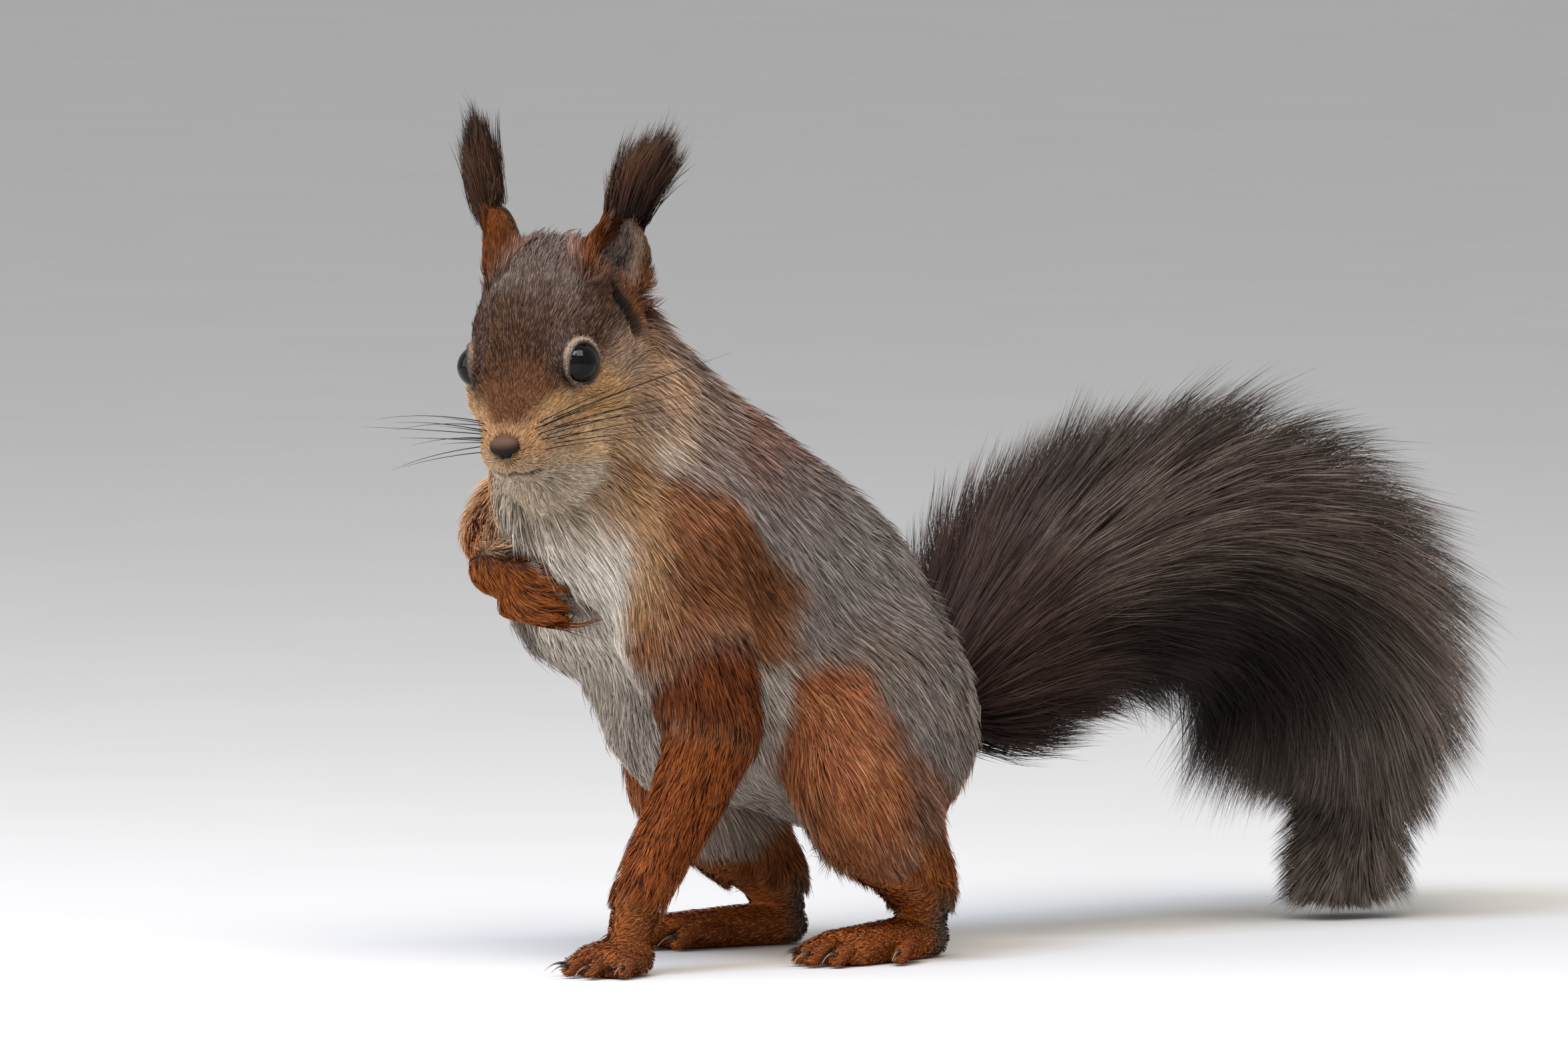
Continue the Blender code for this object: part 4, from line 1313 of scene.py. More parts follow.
def hairMesh(name, lines, widths, ups, tones, labels, rng, profile):
    # tones are root, middle and tip colours of each hair
    count, stations, _ = lines.shape
    lines = lines.copy()
    low = 0.25 + 0.5 * rng.random(count)[:, None]
    lines[:, :, 2] = np.maximum(lines[:, :, 2], low)
    rolls = rng.uniform(-1, 1, count) * hairSettings["roll"]
    points, triangles, faces = bladesFrom(lines, widths, ups, rolls, profile)
    shares = np.append(np.repeat(np.arange(stations - 1) / (stations - 1), 2), 1.0)
    first = np.clip(1 - shares * 2, 0, 1)[None, :, None]
    final = np.clip(shares * 2 - 1, 0, 1)[None, :, None]
    colours = tones[:, :1] * first + tones[:, 1:2] * (1 - first - final) + tones[:, 2:3] * final
    facing = np.concatenate([np.repeat(faces[:, :-1], 2, axis=1), faces[:, -1:]], axis=1)
    facing = facing * np.sign(dots(facing, ups[:, None]) + 1e-9)[..., None]
    soft = hairSettings["soft"]
    normals = unit(ups[:, None] * soft + facing * (1 - soft))
    patch = hairSettings["patch"]
    across = np.append(np.tile([-0.42, 0.42], stations - 1), 0.0)[None, :, None] * np.array([1.0, 0.0])
    along = (shares - 0.5)[None, :, None] * np.array([0.0, 0.84])
    places = bakePlaces(lines[:, 0], labels)[:, None] + (across + along) * patch
    return meshFrom(name, points.reshape(-1, 3), triangles, colours.reshape(-1, 3),
                    normals.reshape(-1, 3), places.reshape(-1, 2))


def mixedTones(fur, rng, leaders, shadedRootShare=0.55):
    # root, middle and tip of each hair, some tipped light and some dark, lock by lock and hair by hair
    count = len(fur)
    dark, middle, light = fur[:, 0], fur[:, 1], fur[:, 2]
    shared = rng.random(count) < hairSettings["lockShare"]
    draw = np.where(shared, rng.random(count)[leaders], rng.random(count))[:, None]
    lockDraw = rng.normal(size=count)[leaders][:, None]
    tip = np.where(draw > 1 - hairSettings["lightTips"], light, middle)
    tip = np.where(draw < hairSettings["darkTips"], dark, tip)
    body = middle * (1 + 0.16 * lockDraw * 0.6 + 0.14 * rng.normal(size=(count, 1)))
    body = np.clip(body, dark * 0.6, light * 1.1)
    # roots darker than the dark tone: partly the grey underfur, partly painted shade deep in the coat
    root = dark * shadedRootShare + middle * 0.1
    tip = tip * (1 + 0.1 * rng.normal(size=(count, 1)) + 0.07 * lockDraw)
    return np.clip(np.stack([root, body, tip], axis=1), 0.002, 0.95)


def grow(name, where, count, steps, seed, lockSize, pull, shadedRootShare=0.55):
    # one piece of coat over the part of the hide where the vertex values of where are above 0
    rng = np.random.default_rng(seed)
    count = int(count * hairShare)
    a, b, c = (skinPoints[skinTriangles[:, i]] for i in range(3))
    area = np.linalg.norm(np.cross(b - a, c - a), axis=1) / 2
    chance = area * where[skinTriangles].mean(axis=1)
    chosen = np.searchsorted(np.cumsum(chance), rng.random(count) * chance.sum())
    chosen = np.minimum(chosen, len(area) - 1)
    u, v = sharesIn(rng, (2, count))
    shares = np.stack([1 - u - v, u, v], axis=1)
    corner = skinTriangles[chosen]

    def at(values):
        extra = (1,) * (values.ndim - 1)
        return sum(values[corner[:, i]] * shares[:, i].reshape(-1, *extra) for i in range(3))

    roots, ups, ways = at(skinPoints), unit(at(skinNormals)), at(skinLie)
    lengths, lifts, weights, fur = at(skinLength), at(skinDepth), at(skinWeights), at(skinFur)
    labels = weights.argmax(axis=1)
    form = hairSettings
    yaw = (rng.normal(0, form["yaw"], count) + waves(roots, 7, seed + 1) * form["swirl"]) * at(skinLoose)
    across = np.cross(ups, ways)
    ways = unit(ways * np.cos(yaw)[:, None] + across * np.sin(yaw)[:, None])
    stray = rng.random(count) < form["strays"]
    lengths = lengths * rng.uniform(*form["spans"], count) * np.where(stray, form["strayLength"], 1)
    lifts = lifts * rng.uniform(*form["lifts"], count) * np.where(stray, form["strayLift"], 1)
    lines = centreLines(roots - ups * 0.15, ups, ways, lengths, lifts, steps)
    lines, leaders = clumped(lines, max(count // lockSize, 1), pull)
    widths = np.clip(0.07 + 0.026 * lengths, *form["widths"]) * rng.uniform(0.8, 1.2, count)
    tones = mixedTones(fur, rng, leaders, shadedRootShare)
    profile = (0.75, 1.0) if steps == 2 else (0.7, 1.0, 0.75)
    mesh = hairMesh(name, lines, widths, ups, tones, labels, rng, profile)
    pieceFrom(name, mesh, guardHair)
    print(name, "grown:", len(mesh.polygons), "triangles")


def shareOf(*kinds):
    return kindShare(skinWeights, *kinds)


def bald(points):
    # 0 where no hair grows: inside the lids, under the nose pad and along the lips
    gap, _ = lidGap(points)
    free = ease(0.1, 0.4, gap) * ease(0.5, 0.8, lipGap) * ease(0.6, 1.0, creaseGap)
    free *= ease(0.8, 1.3, np.minimum(slitGap(points, 1), slitGap(points, -1)))
    free *= ease(2.6, 3.4, np.linalg.norm(points - padSpot, axis=1))
    return free


hairy = bald(skinPoints)
breast = breastShare(skinPoints, skinNormals) * ease(0.4, 0.85, shareOf("trunk", "neck"))
bodyShare = shareOf("trunk", "neck") * ease(0.75, 0.25, breast)
highShare = ease(92, 96, skinPoints[:, 2])
faceCloser = 1 + 1.6 * ease(4, 1, lidGap(skinPoints)[0]) + 1.2 * ease(6, 14, skinMarks[:, 0])
grow("coat_head", shareOf("head") * hairy * faceCloser, 66000, 2, 21, lockSize=5, pull=0.28)
grow("coat_ears", shareOf("ear"), 22000, 2, 22, lockSize=6, pull=0.3)
grow("coat_back", bodyShare * highShare, 56000, 2, 23, lockSize=6, pull=0.26)
grow("coat_flanks", bodyShare * (1 - highShare), 49000, 2, 24, lockSize=6, pull=0.26)
# the pale breast keeps more of its dark tone at the roots, so less painted shade there
grow("coat_breast", breast, 32000, 3, 25, lockSize=8, pull=0.46, shadedRootShare=0.85)
grow("coat_thighs", shareOf("thigh", "shank"), 53000, 2, 26, lockSize=7, pull=0.34)
pawDense = (shareOf("upper_arm", "forearm") + 1.9 * shareOf("forepaw", "hind_foot")) * hairy
grow("coat_arms_and_paws", pawDense, 54000, 2, 27, lockSize=6, pull=0.35)

# the hide takes the coat's dark root tone: partly the grey underfur, partly painted shade under the hairs
hideUnderfurAndShade = skinFur[:, 0] * 0.55 + skinFur[:, 1] * 0.12
skinMesh = meshFrom("hide", skinPoints, skinTriangles, hideUnderfurAndShade)
pieceFrom("hide", skinMesh, hide, fleshNodes)
print("hide made")


# tail and ear tufts: hair that stands off the body

def alongLine(line, shares):
    # points and directions at shares (0 to 1, or past an end) of a line of stations
    steps = np.concatenate([[0], np.cumsum(np.linalg.norm(np.diff(line[:, :3], axis=0), axis=1))])
    steps /= steps[-1]
    clipped = np.clip(shares, 0, 1)
    places = np.stack([np.interp(clipped, steps, line[:, axis]) for axis in range(line.shape[1])], axis=-1)
    tangents = unit(np.gradient(line[:, :3], steps, axis=0))
    ways = unit(np.stack([np.interp(clipped, steps, tangents[:, axis]) for axis in range(3)], axis=-1))
    length = np.linalg.norm(np.diff(line[:, :3], axis=0), axis=1).sum()
    places[..., :3] += ways * ((shares - clipped) * length)[..., None]
    return places, ways


plumeSettings = {
    "hairs": 37500,         # in each half of the plume
    "width": 0.25,
    "rise": (70, 54, 40),   # degrees that a hair stands off the tail, from root to tip
    "shortest": 14.0,
    "under": 0.22,          # share of short hairs below the long ones
    "spans": (0.78, 1.07),  # a hair's length against its place's own
    "lean": (9, 5),         # degrees that locks and single hairs lean from the rise
    "twist": (0.22, 0.09),  # radians that they turn round the tail
    "lock": 12, "pull": 0.42,       # hairs to a lock, and how far they are drawn to its tip
    "flat": 0.82, "half": 46.3,     # its width over its height, and the most it may be to a side, mm
}


def growTail(name, start, end, seed):
    rng = np.random.default_rng(seed)
    count = int(plumeSettings["hairs"] * hairShare)
    line = np.column_stack([tailLine, coreRadii])
    length = np.linalg.norm(np.diff(tailLine[:, :3], axis=0), axis=1).sum()
    shares = start + (end - start) * rng.random(count)
    roll = rng.uniform(0, 2 * math.pi, count)
    here, ways = alongLine(line, shares)
    sideways = np.array([1.0, 0, 0])
    outer = np.cross(sideways, ways)
    out = np.cos(roll)[:, None] * sideways + np.sin(roll)[:, None] * outer
    roots = here[:, :3] + out * here[:, 4:5] * 0.9
    under = rng.random(count) < plumeSettings["under"]
    ahead, _ = alongLine(line, shares + 24 / length)
    reach = np.maximum(ahead[:, 3] - here[:, 4], plumeSettings["shortest"] * 0.6)
    lengths = reach / 0.79 * np.where(under, 0.5, 1) * rng.uniform(*plumeSettings["spans"], count)
    lengths *= 1 + 0.08 * waves(roots + out * 12, 16, seed + 3)
    byLock, byHair = plumeSettings["lean"]
    lean = np.radians(waves(roots + out * 15, 14, seed + 1) * byLock + rng.normal(0, byHair, count))
    byLock, byHair = plumeSettings["twist"]
    twist = waves(roots + out * 15, 17, seed + 2) * byLock + rng.normal(0, byHair, count)
    lines, place = [roots], roots
    for step, angle in enumerate(plumeSettings["rise"]):
        _, way = alongLine(line, shares + lengths * (step + 0.5) / 3 * 0.6 / length)
        level = np.cross(sideways, way)
        swung = roll + twist * (step + 1) / 3
        off = np.cos(swung)[:, None] * sideways + np.sin(swung)[:, None] * level
        rise = math.radians(angle) + lean
        place = place + (off * np.sin(rise)[:, None] + way * np.cos(rise)[:, None]) * (lengths / 3)[:, None]
        lines.append(place)
    lines = np.stack(lines, axis=1)
    # hairs that would go through the floor end above it, unevenly
    level = rng.uniform(0.3, 5, count)
    fall = np.maximum(roots[:, 2] - lines[:, -1, 2], 0.1)
    fits = np.where(lines[:, -1, 2] < level, np.clip((roots[:, 2] - level) / fall, 0.25, 1), 1)
    lines = roots[:, None] + (lines - roots[:, None]) * fits[:, None, None]
    # flatter than it is tall
    half = plumeSettings["half"]
    lines[:, :, 0] = np.clip(lines[:, :, 0] * plumeSettings["flat"], -half, half)
    lines, leaders = clumped(lines, max(count // plumeSettings["lock"], 1), plumeSettings["pull"])
    # a paler band along the outer side, its very fringe dark again; the inner side and the short under hairs
    # keep a near-black tone, painted shade inside the plume
    outwards = np.sin(roll) + rng.normal(0, 0.12, count)
    top = ease(-0.35, 0.25, outwards) * (1 - 0.65 * ease(0.65, 0.95, outwards))
    fur = np.repeat(furTones["tailCore"][None], count, axis=0)
    fur = laid(fur, "tailTop", (0.1 + 0.9 * top) * np.where(under, 0.1, 1))
    fur = laid(fur, "tailEnd", ease(0.45, 0.8, shares) * (0.6 + 0.4 * top) * np.where(under, 0.5, 1))
    fur = laid(fur, "tailRoot", ease(0.2, 0.02, shares) * 0.9)
    tones = mixedTones(fur, rng, leaders)
    widths = plumeSettings["width"] * rng.uniform(0.75, 1.25, count)
    mesh = hairMesh(name, lines, widths, out, tones, np.zeros(count, int), rng, (0.8, 1.0, 0.7))
    pieceFrom(name, mesh, guardHair)
    print(name, "grown:", len(mesh.polygons), "triangles")


growTail("plume_root", -0.02, 0.5, 31)
growTail("plume_end", 0.5, 1.0, 32)

tuftSettings = {
    "hairs": 6500, "width": 0.21,
    "lock": 26,             # hairs to a lock
    "onEar": 0.45,          # share of the locks that are rooted on the ear itself
    "fray": 2.2,            # how far the locks' tips stray, mm
    "clump": 9, "pull": 0.4,        # hairs that are drawn to one tip, and how far
    "fan": {1: 0.3, -1: -0.05},     # how much wider the tuft is at its end
}


def growTuft(side, name, seed):
    rng = np.random.default_rng(seed)
    count = int(tuftSettings["hairs"] * hairShare)
    sections, run, broad, thin = tuftSections(side)
    levels = np.linspace(0.03, 0.97, len(sections))
    _, _, facing = earAxes(side)
    length = np.linalg.norm(sections[-1, :3] - sections[0, :3])

    def placeAt(shares, a, b):
        # a place in the tuft at a share of its length, a and b across its section
        inside = np.clip(shares, 0.03, 0.97)
        rows = np.stack([np.interp(inside, levels, sections[:, i]) for i in range(5)], axis=-1)
        place = rows[:, :3] + run * ((shares - inside) * length)[:, None]
        return place + broad * (rows[:, 3] * a)[:, None] + thin * (rows[:, 4] * b)[:, None]

    # roots: the top of the ear's front edge and back, or inside the tuft
    own = skinWeights[:, fleshNodes.index("ear_left" if side > 0 else "ear_right")] > 0.5
    height, across = onEar(skinPoints, side)
    edge = own & (across < -0.5) & (height > 0.85)
    back = own & (skinNormals @ facing < -0.2) & (height > 0.45)
    places = np.flatnonzero(edge | back)
    locks = max(count // tuftSettings["lock"], 1)
    mine = rng.integers(0, locks, count)
    onEarToo = (rng.random(locks) < tuftSettings["onEar"])[mine]
    chosen = rng.choice(places, count)
    roll, out = rng.uniform(0, 2 * math.pi, locks), rng.random(locks) ** 0.66
    a = (np.cos(roll) * out)[mine] + rng.normal(0, 0.13, count)
    b = (np.sin(roll) * out)[mine] + rng.normal(0, 0.13, count)
    reached = (rng.uniform(0.62, 1.06, locks) - 0.2 * out ** 2)[mine]
    first = rng.uniform(0.04, 0.45, count) * (1 - 0.9 * onEarToo)
    b = np.where(first < 0.16, np.abs(b), b)    # behind the hollow at its foot
    last = np.minimum(first + rng.uniform(0.42, 0.75, count), reached - 0.05 * rng.random(count))
    sway = rng.normal(0, tuftSettings["fray"], (locks, 3))[mine]
    lines = []
    for step in range(4):
        share = step / 3
        gather = 1 + tuftSettings["fan"][side] * share
        place = placeAt(first + (last - first) * share, a * gather, b * gather)
        place = place + sway * (np.clip(last, 0.3, 1) * share ** 2)[:, None]
        if step == 0:
            root = skinPoints[chosen] - skinNormals[chosen] * 0.2
            place = np.where(onEarToo[:, None], root, place)
        lines.append(place + rng.normal(0, 0.05 + 0.22 * share, (count, 3)))
    lines = np.stack(lines, axis=1)
    lines, leaders = clumped(lines, max(count // tuftSettings["clump"], 1), tuftSettings["pull"])
    ups = unit(broad * a[:, None] + thin * b[:, None])
    fur = np.repeat(furTones["tuft"][None], count, axis=0)
    fur = laid(fur, "tuftEdge", ease(0.6, 1.05, np.hypot(a, b)) * 0.4)
    tones = mixedTones(fur, rng, leaders)
    # rusty tips
    rusty = (rng.random(locks) < 0.35)[mine] * 0.7
    tones[:, 2] += (furTones["tuftEdge"][1] - tones[:, 2]) * rusty[:, None]
    # rusty at the ear
    tones[:, 0] += (furTones["earEdge"][1] - tones[:, 0]) * (onEarToo * 0.8)[:, None]
    widths = tuftSettings["width"] * rng.uniform(0.7, 1.2, count)
    mesh = hairMesh(name, lines, widths, ups, tones, np.zeros(count, int), rng, (0.8, 1.0, 0.7))
    pieceFrom(name, mesh, guardHair, ["ear_tuft_left" if side > 0 else "ear_tuft_right"])


growTuft(1, "tuft_left", 41)
growTuft(-1, "tuft_right", 42)
print("tufts grown")


# eyes, lids, nose and mouth

def ringMesh(centres, normals, axes, radii, closed, sides=10):
    # a tube through centres; normals and axes span each ring
    count = len(centres)
    angles = np.arange(sides) / sides * 2 * math.pi
    rings = (centres[:, None] + normals[:, None] * (np.cos(angles)[None, :, None] * radii[:, None, None])
             + axes[:, None] * (np.sin(angles)[None, :, None] * radii[:, None, None]))
    points = rings.reshape(-1, 3)
    triangles = []
    for i in range(count if closed else count - 1):
        for k in range(sides):
            a, b = i * sides + k, i * sides + (k + 1) % sides
            c, d = (i + 1) % count * sides + k, (i + 1) % count * sides + (k + 1) % sides
            triangles += [(a, b, d), (a, d, c)]
    if not closed:
        points = np.vstack([points, centres[0], centres[-1]])
        for k in range(sides):
            j = (k + 1) % sides
            triangles += [(count * sides, j, k),
                          (count * sides + 1, (count - 1) * sides + k, (count - 1) * sides + j)]
    return points, np.array(triangles)


def turnedOut(points, triangles, picks, outward):
    # the triangles, turned round if they face inwards at the picked points
    facing = dots(normalsOf(points, triangles)[picks], outward)
    return triangles[:, ::-1] if facing.mean() < 0 else triangles


eyeLook = {"iris": "0b0604", "ball": "040303", "irisStart": 30, "irisEnd": 46, "bulge": 0.12}


def makeEye(side, name):
    gaze, front, top = eyeAxes(side)
    rows, columns = 64, 64
    points, shades = [], []
    for row in range(rows + 1):
        angle = math.pi * row / rows
        roll = np.arange(columns) / columns * 2 * math.pi
        bulge = eyeLook["bulge"] * math.exp(-(angle / 0.8) ** 2)
        ray = (gaze[None] * math.cos(angle) + (front[None] * np.cos(roll)[:, None]
               + top[None] * np.sin(roll)[:, None]) * math.sin(angle))
        points.append(eyeSpots[side] + ray * (eyeRadius + bulge))
        iris = ease(eyeLook["irisStart"], eyeLook["irisEnd"], math.degrees(angle))
        shade = linear(eyeLook["ball"]) * (1 - iris) + linear(eyeLook["iris"]) * iris
        shades.append(np.repeat(shade[None], columns, axis=0))
    triangles = []
    for row in range(rows):
        for k in range(columns):
            a, b = row * columns + k, row * columns + (k + 1) % columns
            c, d = a + columns, b + columns
            if row > 0:
                triangles.append((a, b, d))
            if row < rows - 1:
                triangles.append((a, d, c))
    points, triangles = np.concatenate(points), np.array(triangles)
    ninthRow = slice(columns * 8, columns * 9)
    triangles = turnedOut(points, triangles, ninthRow, (points - eyeSpots[side])[ninthRow])
    used, inverse = np.unique(triangles, return_inverse=True)
    mesh = meshFrom(name, points[used], inverse.reshape(-1, 3), np.concatenate(shades)[used])
    pieceFrom(name, mesh, cornea, [name.replace("ball", "eye")])


def makeLid(side, name):
    gaze, front, top = eyeAxes(side)
    steps = 96
    roll = np.arange(steps) / steps * 2 * math.pi
    edge = openingAt(roll) + 0.02
    ray = (gaze * np.cos(edge)[:, None] + (front * np.cos(roll)[:, None] + top * np.sin(roll)[:, None])
           * np.sin(edge)[:, None])
    centres = eyeSpots[side] + ray * (eyeRadius + 0.12)
    tangents = unit(np.roll(centres, -1, axis=0) - np.roll(centres, 1, axis=0))
    radii = np.full(steps, 0.32)
    points, triangles = ringMesh(centres, ray, np.cross(tangents, ray), radii, True)
    triangles = turnedOut(points, triangles, slice(None, None, 10), ray)
    mesh = meshFrom(name, points, triangles)
    pieceFrom(name, mesh, wetLid)


noseLook = {                # the pad's radii, its nostrils and their curled ends, forward, across and up
    "radii": (2.4, 3.9, 2.9), "nostril": (1.0, 2.3, -1.0), "comma": ((0.4, 3.1, -0.5), (-0.1, 3.6, 0.5)),
    "skin": "1a100c", "noseShade": "060403", "velvet": "57402f",
}


def makeNose():
    form = bmesh.new()
    bmesh.ops.create_icosphere(form, subdivisions=6, radius=1.0)
    ball = np.array([vert.co for vert in form.verts])
    triangles = np.array([[vert.index for vert in face.verts] for face in form.faces])
    form.free()
    marks = ball * noseLook["radii"]
    u = marks[:, 2]
    # narrower below, square above
    marks[:, 1] *= 1 - 0.42 * ease(0.2, -2.8, u) + 0.06 * ease(0.5, 2.0, u)
    side = np.abs(marks[:, 1])
    mirrored = np.column_stack([marks[:, 0], side, marks[:, 2]])
    hollow = np.exp(-(np.linalg.norm((mirrored - noseLook["nostril"]) / (1.0, 0.75, 0.6), axis=1)) ** 2)
    for place, size in zip(noseLook["comma"], (0.62, 0.5)):
        hollow = np.maximum(hollow, 0.9 * np.exp(-(np.linalg.norm(mirrored - place, axis=1) / size) ** 2))
    seam = np.exp(-(side / 0.25) ** 2) * ease(0.2, -0.8, marks[:, 2]) * ease(0, 1.5, marks[:, 0])
    inward = unit(marks)
    marks = marks - inward * (hollow * 0.9 + seam * 0.3)[:, None]
    # painted shade: the nostrils, the seam below the nose and the pad's underside darkened to near black
    low = ease(0.3, -1.1, u)
    shade = np.repeat(linear(noseLook["velvet"])[None], len(u), axis=0)
    shade = shade + (linear(noseLook["skin"]) - shade) * ease(2.7, 0.5, u)[:, None]
    noseShade = np.clip(hollow * 1.3 + seam + low * 0.8, 0, 1)
    shade = shade + (linear(noseLook["noseShade"]) - shade) * noseShade[:, None]
    points = padSpot + marks @ headAxes
    mesh = meshFrom("nose_pad", points, triangles, shade)
    pieceFrom("nose_pad", mesh, noseLeather, ["nose"])


def makeMouth(side, name):
    line = lipLine(side)
    ups = skinNormals[nearest(skinTree, line)]
    centres = line + ups * 0.1
    tangents = unit(np.gradient(centres, axis=0))
    shares = np.linspace(0, 1, len(centres))
    radii = 0.5 * np.sin(np.pi * (0.25 + 0.75 * shares)) + 0.12
    points, triangles = ringMesh(centres, ups, np.cross(tangents, ups), radii, False)
    triangles = turnedOut(points, triangles, slice(None, -2, 10), ups)
    pieceFrom(name, meshFrom(name, points, triangles), wetLid)


for side, label in ((1, "left"), (-1, "right")):
    makeEye(side, "ball_" + label)
    makeLid(side, "lid_" + label)
    makeMouth(side, "lip_" + label)
makeNose()
print("eyes, lids, nose and lips made")


# whiskers and claws, by Geometry Nodes

def newTree(name, inputs):
    tree = bpy.data.node_groups.new(name, "GeometryNodeTree")
    tree.interface.new_socket("Geometry", in_out="INPUT", socket_type="NodeSocketGeometry")
    for label, value in inputs.items():
        socket = tree.interface.new_socket(label, in_out="INPUT", socket_type="NodeSocketFloat")
        socket.default_value = value
    tree.interface.new_socket("Geometry", in_out="OUTPUT", socket_type="NodeSocketGeometry")
    return tree, tree.nodes.new("NodeGroupInput"), tree.nodes.new("NodeGroupOutput")


def solved(name, mesh, tree, inputs, material):
    # the tree run on a mesh, its result kept as a plain piece
    sockets = [(item.identifier, inputs[item.name]) for item in tree.interface.items_tree
               if item.item_type == "SOCKET" and item.name in inputs]
    result = evaluated(mesh, "NODES", sockets, node_group=tree)
    result.name = name
    pieceFrom(name, result, material)


def finishTree(tree, geometry, output, material):
    whole = node(tree, "GeometryNodeRealizeInstances", Geometry=geometry)
    smooth = node(tree, "GeometryNodeSetShadeSmooth", Geometry=whole.outputs["Geometry"])
    painted = node(tree, "GeometryNodeSetMaterial", {"Material": material},
                   Geometry=smooth.outputs["Geometry"])
    tree.links.new(painted.outputs["Geometry"], output.inputs["Geometry"])


whiskerSettings = {
    # each row's height on the pad, count and length
    "rows": ((-4.8, 2, 38), (-6.5, 4, 44), (-8.3, 4, 42), (-10.2, 3, 34)),
    "front": 18.5, "pitch": 2.1,    # the foremost whisker of a row and the step back to the next
    "thick": 0.28,
    "sweep": {1: (-0.57, 0.81, -0.08), -1: (-0.25, 0.96, -0.12)},    # forward, outwards, up on the head
    "bend": 0.34,
    "spare": 1.8,           # how far past the solids' box a tip may come
}


def overBox(line):
    # how far a line passes the solids' box, mm
    low, high = np.array(cadBox) / mm
    return np.maximum(low - line, line - high).max()


def whiskerLines():
    rng = np.random.default_rng(51)
    lines = []
    for side in (1, -1):
        for height, count, length in whiskerSettings["rows"]:
            for number in range(count):
                f = whiskerSettings["front"] - number * whiskerSettings["pitch"] + rng.normal(0, 0.25)
                guess = fromHead((f, side * (7.5 - 0.1 * f), height + rng.normal(0, 0.2)))
                near = nearest(skinTree, guess[None])[0]
                root = skinPoints[near]
                sweep = np.array(whiskerSettings["sweep"][side]) * (1, side, 1)
                back = np.array([-0.12 * number, 0, 0.06 * (height + 8)])
                way = unit((sweep + back + rng.normal(0, 0.06, 3)) @ headAxes + skinNormals[near] * 0.42)
                reach = length * rng.uniform(0.8, 1.05) * (1.0 - 0.07 * abs(number - 2))
                droop = np.array([0, 0, -1.0]) * whiskerSettings["bend"] * rng.uniform(0.1, 0.9)
                droop = droop + np.array([0.0, 0.3, 0.0]) * rng.uniform(0.5, 1.0)
                shares = np.linspace(0, 1, 15)[:, None]
                line = root + (way * shares + droop * shares ** 2 * 0.5) * reach
                # no whisker leaves the model's own box
                while overBox(line) > whiskerSettings["spare"]:
                    line = root + (line - root) * 0.94
                lines.append(line)
    return np.array(lines)


def makeWhiskers():
    lines = whiskerLines()
    count, stations, _ = lines.shape
    mesh = bpy.data.meshes.new("whisker_lines")
    steps = np.arange(count * stations).reshape(count, stations)
    edges = np.stack([steps[:, :-1], steps[:, 1:]], axis=-1).reshape(-1, 2)
    mesh.from_pydata((lines.reshape(-1, 3) * mm).tolist(), edges.tolist(), [])
    tree, entry, output = newTree("whiskers", {"Thickness": 0.0002})
    curve = node(tree, "GeometryNodeMeshToCurve", Mesh=entry.outputs["Geometry"])
    along = node(tree, "GeometryNodeSplineParameter")
    taper = node(tree, "ShaderNodeMapRange", {"To_Min": 1.0, "To_Max": 0.12}, Value=along.outputs["Factor"])
    ring = node(tree, "GeometryNodeCurvePrimitiveCircle", {"Resolution": 6})
    half = node(tree, "ShaderNodeMath", {"operation": "MULTIPLY"})
    half.inputs[1].default_value = 0.5
    tree.links.new(entry.outputs["Thickness"], half.inputs[0])
    tree.links.new(half.outputs["Value"], ring.inputs["Radius"])
    tube = node(tree, "GeometryNodeCurveToMesh", {"Fill_Caps": True}, Curve=curve.outputs["Curve"],
                Profile_Curve=ring.outputs["Curve"], Scale=taper.outputs["Result"])
    finishTree(tree, tube.outputs["Mesh"], output, whiskerHorn)
    solved("whiskers", mesh, tree, {"Thickness": whiskerSettings["thick"] * mm}, whiskerHorn)


clawSettings = {"radius": 0.75, "sink": 0.8}


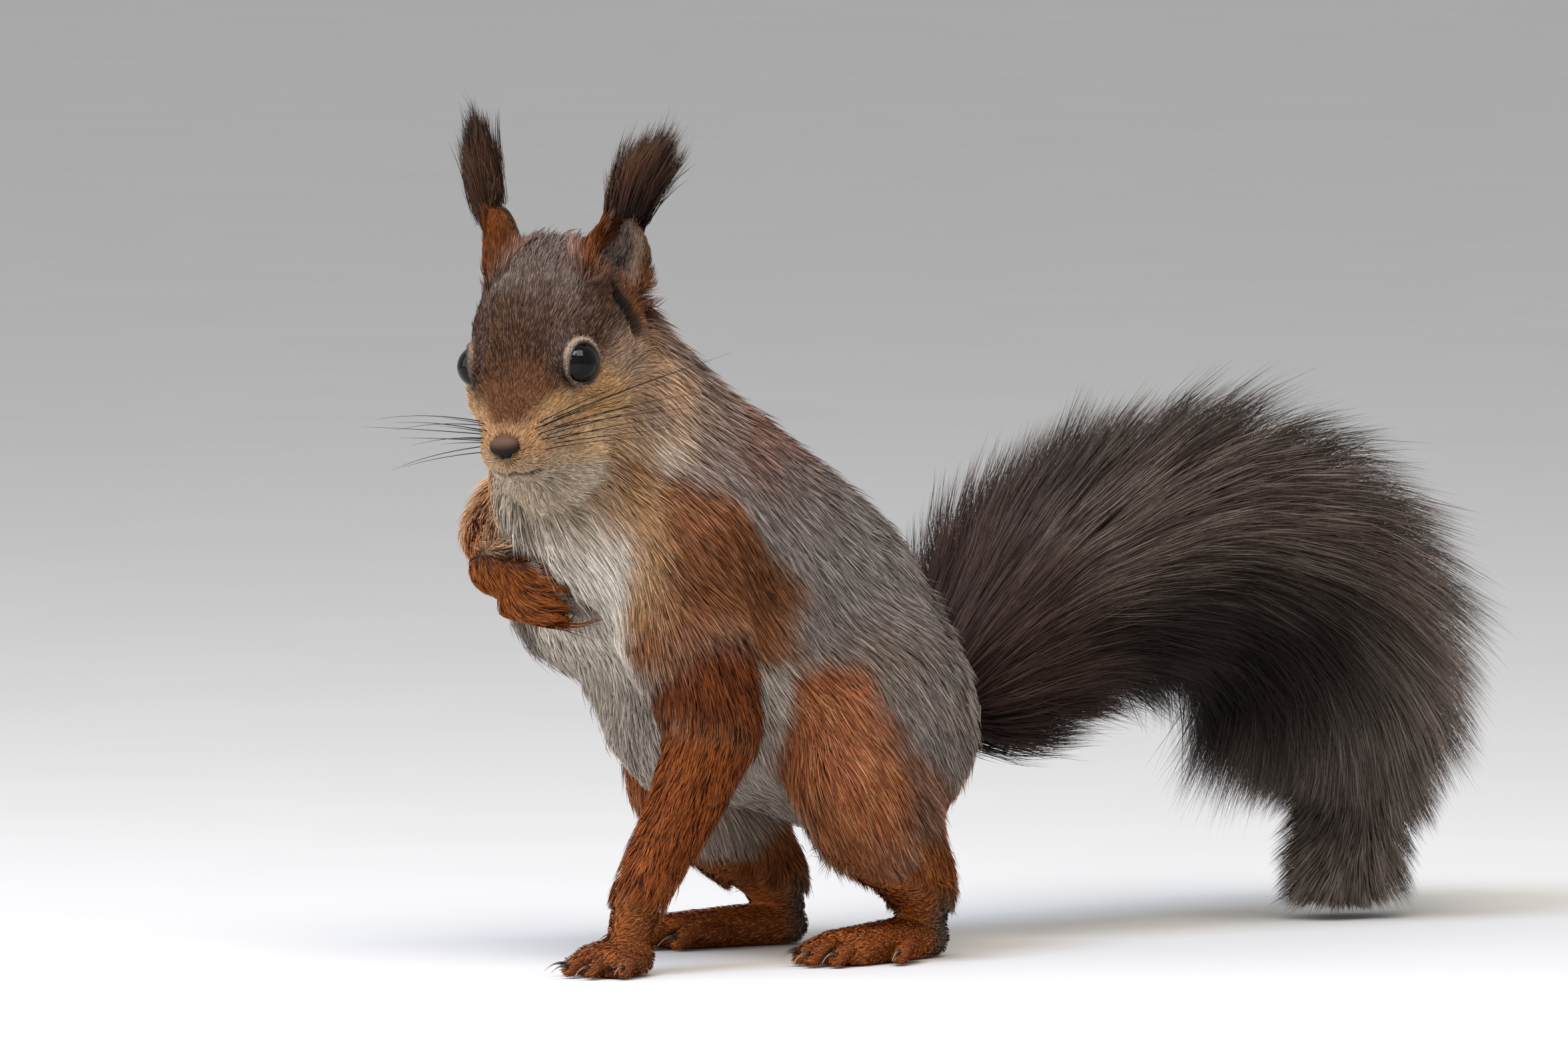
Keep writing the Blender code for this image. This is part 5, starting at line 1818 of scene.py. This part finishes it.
def makeClaws():
    # every claw is one hooked horn of length 1, set on a toe and stretched to its size
    roots = np.array([root for root, tip in claws])
    tips = np.array([tip for root, tip in claws])
    ways = tips - roots
    lengths = np.linalg.norm(ways, axis=1)
    mesh = bpy.data.meshes.new("claw_roots")
    mesh.from_pydata(((roots - unit(ways) * clawSettings["sink"]) * mm).tolist(), [], [])
    aim = mesh.attributes.new("aim", "FLOAT_VECTOR", "POINT")
    aim.data.foreach_set("vector", unit(ways).astype(np.float32).ravel())
    reach = mesh.attributes.new("reach", "FLOAT", "POINT")
    reach.data.foreach_set("value", ((lengths + clawSettings["sink"]) * mm).astype(np.float32))
    tree, entry, output = newTree("claws", {"Radius": 0.15})
    horn = node(tree, "GeometryNodeCurveQuadraticBezier", {"Resolution": 12})
    horn.inputs["Start"].default_value = (0, 0, 0)
    horn.inputs["Middle"].default_value = (0.55, 0, 0.3)
    horn.inputs["End"].default_value = (1.0, 0, -0.12)
    along = node(tree, "GeometryNodeSplineParameter")
    known = node(tree, "GeometryNodeStoreNamedAttribute",
                 {"data_type": "FLOAT", "domain": "POINT", "Name": "along"},
                 Geometry=horn.outputs["Curve"], Value=along.outputs["Factor"])
    taper = node(tree, "ShaderNodeMapRange",
                 {"interpolation_type": "SMOOTHSTEP", "From_Min": -0.3, "To_Min": 1.0, "To_Max": 0.08},
                 Value=along.outputs["Factor"])
    ring = node(tree, "GeometryNodeCurvePrimitiveCircle", {"Resolution": 10}, Radius=entry.outputs["Radius"])
    tube = node(tree, "GeometryNodeCurveToMesh", {"Fill_Caps": True}, Curve=known.outputs["Geometry"],
                Profile_Curve=ring.outputs["Curve"], Scale=taper.outputs["Result"])
    aims = node(tree, "GeometryNodeInputNamedAttribute", {"data_type": "FLOAT_VECTOR", "Name": "aim"})
    sizes = node(tree, "GeometryNodeInputNamedAttribute", {"data_type": "FLOAT", "Name": "reach"})
    turn = node(tree, "FunctionNodeAlignRotationToVector", {"axis": "X", "pivot_axis": "Z"},
                Vector=aims.outputs["Attribute"])
    points = node(tree, "GeometryNodeInstanceOnPoints", Points=entry.outputs["Geometry"],
                  Instance=tube.outputs["Mesh"], Rotation=turn.outputs["Rotation"],
                  Scale=sizes.outputs["Attribute"])
    finishTree(tree, points.outputs["Instances"], output, clawHorn)
    mean = float(lengths.mean() + clawSettings["sink"])
    solved("claws", mesh, tree, {"Radius": clawSettings["radius"] / mean}, clawHorn)


makeWhiskers()
makeClaws()
print("whiskers and claws made")


# floor, light and camera

viewSettings = {
    "turn": 50.0,           # degrees round from the front, towards its left side
    "rise": 3.5,            # degrees over the level
    "away": 5028.0,
    "lens": 500.0, "film": 36.0,
    "aim": (-19.0, 98.46),  # right of the box's middle as seen, and up, with the middle on the floor
    "middle": -30.34,       # the working middle of the pose, along Y
}


def makeCamera():
    turn, rise = math.radians(viewSettings["turn"]), math.radians(viewSettings["rise"])
    rightward = np.array([math.cos(turn), math.sin(turn), 0])
    away = np.array([math.sin(turn) * math.cos(rise), -math.cos(turn) * math.cos(rise), math.sin(rise)])
    above = np.cross(away, rightward)
    right, up = viewSettings["aim"]
    aim = rightward * right + above * up + np.array([0, viewSettings["middle"], 0])
    camera = bpy.data.cameras.new("camera")
    camera.lens, camera.sensor_width = viewSettings["lens"], viewSettings["film"]
    camera.clip_start, camera.clip_end = 0.1, 100
    holder = linked("camera", camera)
    place = Matrix.Translation(Vector((aim + away * viewSettings["away"]) * mm))
    holder.matrix_world = place @ Matrix(np.array([rightward, above, away]).T.tolist()).to_4x4()
    bpy.context.scene.camera = holder


def makeFloor():
    # painted plaster floor: matt, faintly uneven
    material, tree, shader = newMaterial("matt plaster", Roughness=0.85, Specular_IOR_Level=0.2)
    place = node(tree, "ShaderNodeTexCoord")
    # uneven tone about 80 mm across
    cloud = node(tree, "ShaderNodeTexNoise", {"Scale": 12.0, "Detail": 3.0}, Vector=place.outputs["Object"])
    ramp = node(tree, "ShaderNodeValToRGB", Fac=cloud.outputs["Fac"])
    ramp.color_ramp.elements[0].color = colourOf("d8d5d0")
    ramp.color_ramp.elements[1].color = colourOf("dedbd6")
    tree.links.new(ramp.outputs["Color"], shader.inputs["Base Color"])
    mesh = bpy.data.meshes.new("floor")
    mesh.from_pydata([(-6, -6, 0), (6, -6, 0), (6, 6, 0), (-6, 6, 0)], [], [(0, 1, 2, 3)])
    mesh.materials.append(material)
    piece = linked("floor", mesh)


lamps = {                   # place and size in metres, watts, colour
    "key": ((0.9, -0.5, 1.5), 0.9, 19.0, "fff4e6"),
    "sky": ((0.3, -0.95, 1.3), 0.6, 20.0, "cfe0ff"),
    "fill": ((-0.7, -1.6, 0.8), 1.4, 15.0, "fff6ec"),
}


def makeLight():
    for name, (place, size, watts, colour) in lamps.items():
        data = bpy.data.lights.new(name, "AREA")
        data.size, data.energy = size, watts
        data.color = linear(colour)
        lamp = linked(name, data)
        lamp.location = place
        lamp.rotation_euler = (Vector((0, -0.05, 0.1)) - Vector(place)).to_track_quat("-Z", "Y").to_euler()
    world = bpy.data.worlds.new("world")
    world.use_nodes = True
    sky = world.node_tree.nodes["Background"]
    sky.inputs["Color"].default_value = colourOf("e2e5ea")
    sky.inputs["Strength"].default_value = 0.7
    bpy.context.scene.world = world


makeCamera()
makeFloor()
makeLight()
bpy.context.scene.view_settings.view_transform = "Standard"
print("floor, light and camera set")
